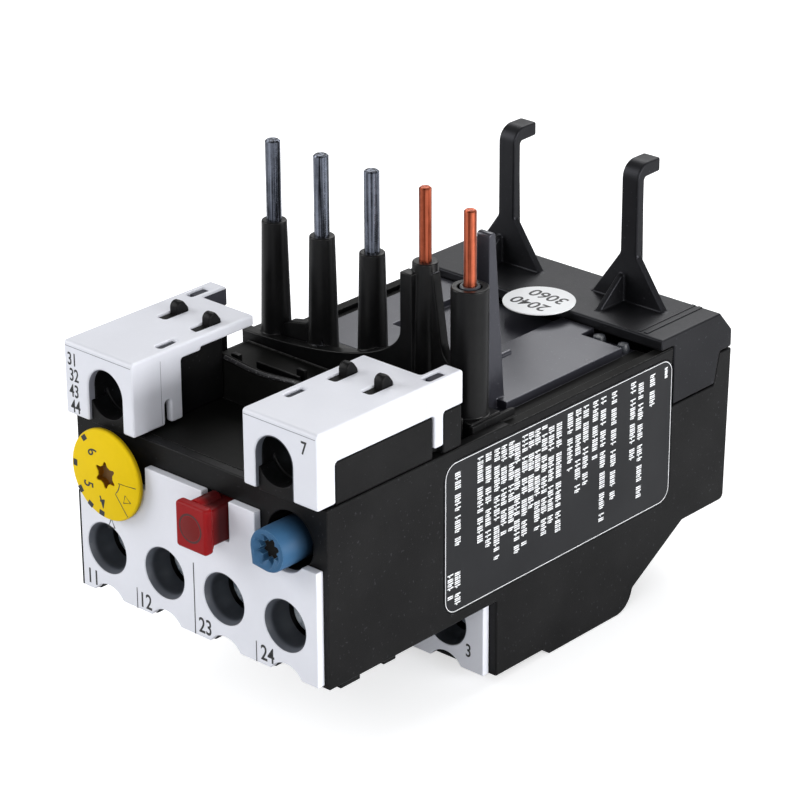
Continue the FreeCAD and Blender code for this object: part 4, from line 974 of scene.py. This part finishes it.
def tabs():
    """Round-topped snap tabs that come up through the slots of the shrouds, and painted-shade floors under
    the slots.
    """
    half, floor_half = 0.74, 0.78
    fin = np.concatenate([[(15.2, 34.3)], arc(16.1, 36.3, 0.9, 180, 60, 10),
                          [(17.3, 36.1), (17.4, 35.5), (17.35, 34.3)]])
    for side, name in SIDES:
        for k, x in enumerate((12.2, 18.2), 1):
            tab = slab("tab", fin, side * x - half, side * x + half, "right")
            soften(piece(f"{name}_tab_{k}", tab, "relay", "black_plastic"), 0.42, 4)
            # Painted shade: near-black floors under the tab slots.
            block(f"{name}_slot_floor_{k}", (side * x - floor_half, side * x + floor_half), (13.02, 17.0),
                  (34.07, 35.42), "pit_shade_black", 0.05)
        low, high = sorted((side * 10.95, side * 12.05))
        # Painted shade: grey floors under the small slots.
        block(f"{name}_small_slot_floor", (low, high), (5.85, 9.05), (34.08, 35.32), "shaded_white", 0.05)


def deck_details():
    """Domes in the rear pocket, strips on the hood, painted-shade sheets beside the deck, and small lips and
    flanges.
    """
    for k, (x, y, r) in enumerate(((12.6, 66.3, 1.0), (16.9, 66.2, 0.9)), 1):
        profile = [(0, 23.0), (r, 23.0), (r, 24.3), (0.8 * r, 24.9), (0, 25.1)]
        dome = turned(f"pocket_dome_{k}", profile, (x, y, 0), axis="Z")
        piece(f"pocket_dome_{k}", dome, "relay", "black_plastic", "funnel_shade_grey")
    block("hood_strip_1", (17.6, 18.25), (68.3, 80.7), (26.3, 26.5), "hood_plastic", 0.06)
    block("hood_strip_2", (18.7, 19.4), (68.3, 80.7), (26.3, 26.53), "hood_plastic", 0.06)
    for side, name in SIDES:
        trench = sorted((side * 18.13, side * 20.88))
        rim = sorted((side * 20.93, side * 22.4))
        # Painted shade: near-black sheets over the trench and rim beside the deck.
        block(name + "_trench_shade", trench, (36.3, 67.4), (23.6, 23.93), "pit_shade_black", 0.01)
        block(name + "_rim_shade", rim, (36.3, 70.1), (24.3, 24.62), "pit_shade_black", 0.01)
    edge = PLATE[0].x / MM
    block("plate_edge", (edge - 0.3, edge - 0.02), (0.05, 1.18), (0.5, 14.4), round_by=0.04)
    block("front_lip_1", (19.0, 22.3), (3.5, 7.1), (-0.75, 0.4))
    block("front_lip_2", (19.0, 22.3), (11.5, 13.8), (-0.6, 0.4))
    profile = [(0.9, 40.4), (1.35, 40.4), (1.35, 43.8), (1.25, 43.95), (1.0, 43.95), (0.9, 43.8)]
    ring = turned("coil_sleeve_ring", profile, (17.9, 33.0, 0), axis="Z")
    piece("coil_sleeve_ring", ring, "relay", "black_plastic", "funnel_shade_grey")
    block("rim_flange", (20.35, 21.0), (30.1, 38.5), (24.9, 25.9))


front_cover()
cover_lip()
trough_details()
tabs()
deck_details()


# ---------------------------------------------------------------- side label
ON_LABEL = (22.515, 0, 0)
LAST_COLUMN_FROM = 68
COLUMNS = np.array([
    (25.5, 22.4, 10.7), (25.5, 7.5, 2.4), (24.1, 7.6, 3.7), (29.9, 22.4, 8.8), (31.5, 22.4, 8.6),
    (33.2, 22.4, 5.7), (34.6, 22.4, 9.1), (36.1, 22.4, 9.2), (37.3, 22.4, 5.4), (38.8, 22.4, 5.9),
    (40.1, 22.4, 10.9), (41.4, 22.4, 7.3), (42.8, 22.4, 5.6), (44.2, 22.4, 7.0), (45.8, 22.4, 5.4),
    (48.1, 22.4, 13.4), (49.8, 22.4, 9.4), (51.4, 22.4, 10.0), (53.4, 22.4, 13.5), (55.1, 22.4, 3.7),
    (57.4, 22.4, 6.0), (61.5, 22.4, 10.3), (63.2, 22.4, 3.9), (65.7, 22.2, 16.6), (68.7, 22.2, 20.0)])


def fine_print():
    """Strokes in letter-sized cells, broken into words, that look like small print and spell nothing."""
    draw = np.random.default_rng(11)
    corners = []
    for y, start, end in COLUMNS:
        tall, cell = 1.12, 0.62
        if y > LAST_COLUMN_FROM:
            tall, cell = 0.6, 0.4
        z = start - cell * (np.arange(int((start - end) / cell)) + 0.5)
        z = z[(np.arange(len(z)) + draw.integers(0, 5)) % draw.integers(5, 8) != 0]
        kind = draw.integers(0, 4, len(z))
        one = np.ones(len(z))
        stem = np.column_stack([y * one, z + 0.2 * cell, tall * one, 0.2 * one, 0 * one])
        second = np.column_stack([y * one, z - 0.25 * cell, tall * (0.5 + 0.5 * (kind > 1)), 0.19 * one,
                                  0 * one])
        bar = np.column_stack([y + tall * (kind / 3 - 0.5) * 0.82, z, 0.2 * one, 0.62 * cell * one, 0 * one])
        corners += [bars(stem), bars(second[kind != 1]), bars(bar)]
    return np.concatenate(corners)


border = np.concatenate([arc(25.15, 3.85, 2.0, 180, 270), arc(67.95, 3.85, 2.0, 270, 360),
                         arc(67.95, 21.15, 2.0, 0, 90), arc(25.15, 21.15, 2.0, 90, 180)])
border_line = ribbon(border, 0.1, closed=True)
ink("label_border", ON_LABEL, "right", border_line, "relay", "label_film", "print_white")
ink("label_print", ON_LABEL, "right", fine_print(), "relay", "label_film", "print_white")

sticker_low, sticker_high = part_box("hood_sticker")
sticker = (np.array(sticker_low + sticker_high) / 2 - np.array(ORIGIN)) / MM
sticker_top = (sticker_high.z - ORIGIN.z) / MM
sticker_digits = [("3060", (sticker[0] + 0.2, sticker[1] + 1.9, sticker_top + 0.01), 2.2, 180),
                  ("2040", (sticker[0] - 0.2, sticker[1] - 1.7, sticker_top + 0.01), 2.2, 180)]
digits("sticker_numbers", sticker_digits, "top", "relay", "white_label", 1.0)


# ---------------------------------------------------------------- stage, lamps and camera
FLOOR_GLOW = 0.55
FLOOR_HALF = 2.5
FLOOR_CELLS = 40


def floor_finish():
    """Matt studio white that glows a little for the camera alone, so that shadows on it stay soft."""
    finish = Finish("studio_floor")
    finish.set(Base_Color=linear(236, 237, 239), Roughness=0.9, Specular_IOR_Level=0.1)
    path = finish.base.node("LightPath", {}, {}, "Is Camera Ray")
    finish.set(Emission_Color=mixed(path, (0, 0, 0, 1), linear(255, 255, 255)), Emission_Strength=FLOOR_GLOW)
    return finish.material


def floor():
    """A wide sheet that the relay stands on: z = 0.004 (r - 0.6) ** 2 beyond r = 0.6 m, level inside it."""
    cells, row = FLOOR_CELLS, FLOOR_CELLS + 1
    side = np.linspace(-FLOOR_HALF, FLOOR_HALF, row)
    x, y = np.meshgrid(side, side, indexing="ij")
    z = 0.004 * np.clip(np.hypot(x, y) - 0.6, 0, None) ** 2 - 0.00002
    points = np.stack([x, y, z], -1).reshape(-1, 3)
    i, j = np.meshgrid(np.arange(cells), np.arange(cells), indexing="ij")
    first = i * row + j
    faces = np.stack([first, first + row, first + row + 1, first + 1], -1).reshape(-1, 4)
    mesh = bpy.data.meshes.new("studio_floor")
    mesh.from_pydata(points.tolist(), [], faces.tolist())
    for face in mesh.polygons:
        face.use_smooth = True
    obj = bpy.data.objects.new("studio_floor", mesh)
    bpy.context.scene.collection.objects.link(obj)
    mesh.materials.append(floor_finish())


VIEW_AZIMUTH, VIEW_ELEVATION, VIEW_ROLL = (math.radians(a) for a in (42.256, 24.141, -0.283))
CAMERA_PLACE = Vector((267.281, -294.439, 210.995)) * MM
LENS, SENSOR = 145.3, 36.0


def camera():
    """A long lens at the height and side from which the relay's front, right side and top all show."""
    right = Vector((math.cos(VIEW_AZIMUTH), math.sin(VIEW_AZIMUTH), 0))
    ahead = Vector((-math.sin(VIEW_AZIMUTH) * math.cos(VIEW_ELEVATION),
                    math.cos(VIEW_AZIMUTH) * math.cos(VIEW_ELEVATION), -math.sin(VIEW_ELEVATION)))
    up = right.cross(ahead)
    turn = Matrix((right, up, -ahead)).transposed() @ Matrix.Rotation(VIEW_ROLL, 3, "Z")
    lens = bpy.data.cameras.new("camera")
    lens.lens, lens.sensor_width = LENS, SENSOR
    lens.clip_start, lens.clip_end = 0.01, 10.0
    view = bpy.data.objects.new("camera", lens)
    view.matrix_world = Matrix.Translation(CAMERA_PLACE) @ turn.to_4x4()
    bpy.context.scene.collection.objects.link(view)
    bpy.context.scene.camera = view


def lamp(name, place, target, width, height, power):
    """A soft rectangular studio lamp, aimed at a point."""
    light = bpy.data.lights.new(name, "AREA")
    light.shape, light.size, light.size_y, light.energy = "RECTANGLE", width, height, power
    obj = bpy.data.objects.new(name, light)
    place, target = Vector(place), Vector(target)
    aim = (target - place).to_track_quat("-Z", "Y").to_matrix().to_4x4()
    obj.matrix_world = Matrix.Translation(place) @ aim
    bpy.context.scene.collection.objects.link(obj)


def surroundings():
    """White world: bright where the camera looks straight at it, gentler as light on the object."""
    world = bpy.data.worlds.new("studio")
    bpy.context.scene.world = world
    world.use_nodes = True
    tree = world.node_tree
    base = Value(tree)
    path = base.node("LightPath", {}, {}, "Is Camera Ray")
    light = base.node("Background", {}, {"Color": linear(255, 255, 255), "Strength": 0.3}, 0)
    seen = base.node("Background", {}, {"Color": linear(255, 255, 255), "Strength": 1.0}, 0)
    sky = base.node("MixShader", {}, {0: path, 1: light, 2: seen}, 0)
    tree.links.new(sky.socket, tree.nodes["World Output"].inputs["Surface"])


camera()
floor()
surroundings()
middle = at(0, 40, 15)
lamp("back_softbox", (-0.25, 0.75, 0.75), middle, 0.9, 0.6, 6.5)
lamp("left_softbox", (-0.75, -0.55, 0.45), middle, 0.6, 0.6, 5.4)
lamp("right_softbox", (0.95, 0.15, 0.16), middle, 0.7, 0.3, 9.0)
lamp("front_fill", (0.42, -0.8, 0.42), middle, 0.4, 0.4, 2.2)

bpy.context.scene.view_settings.view_transform = "Standard"
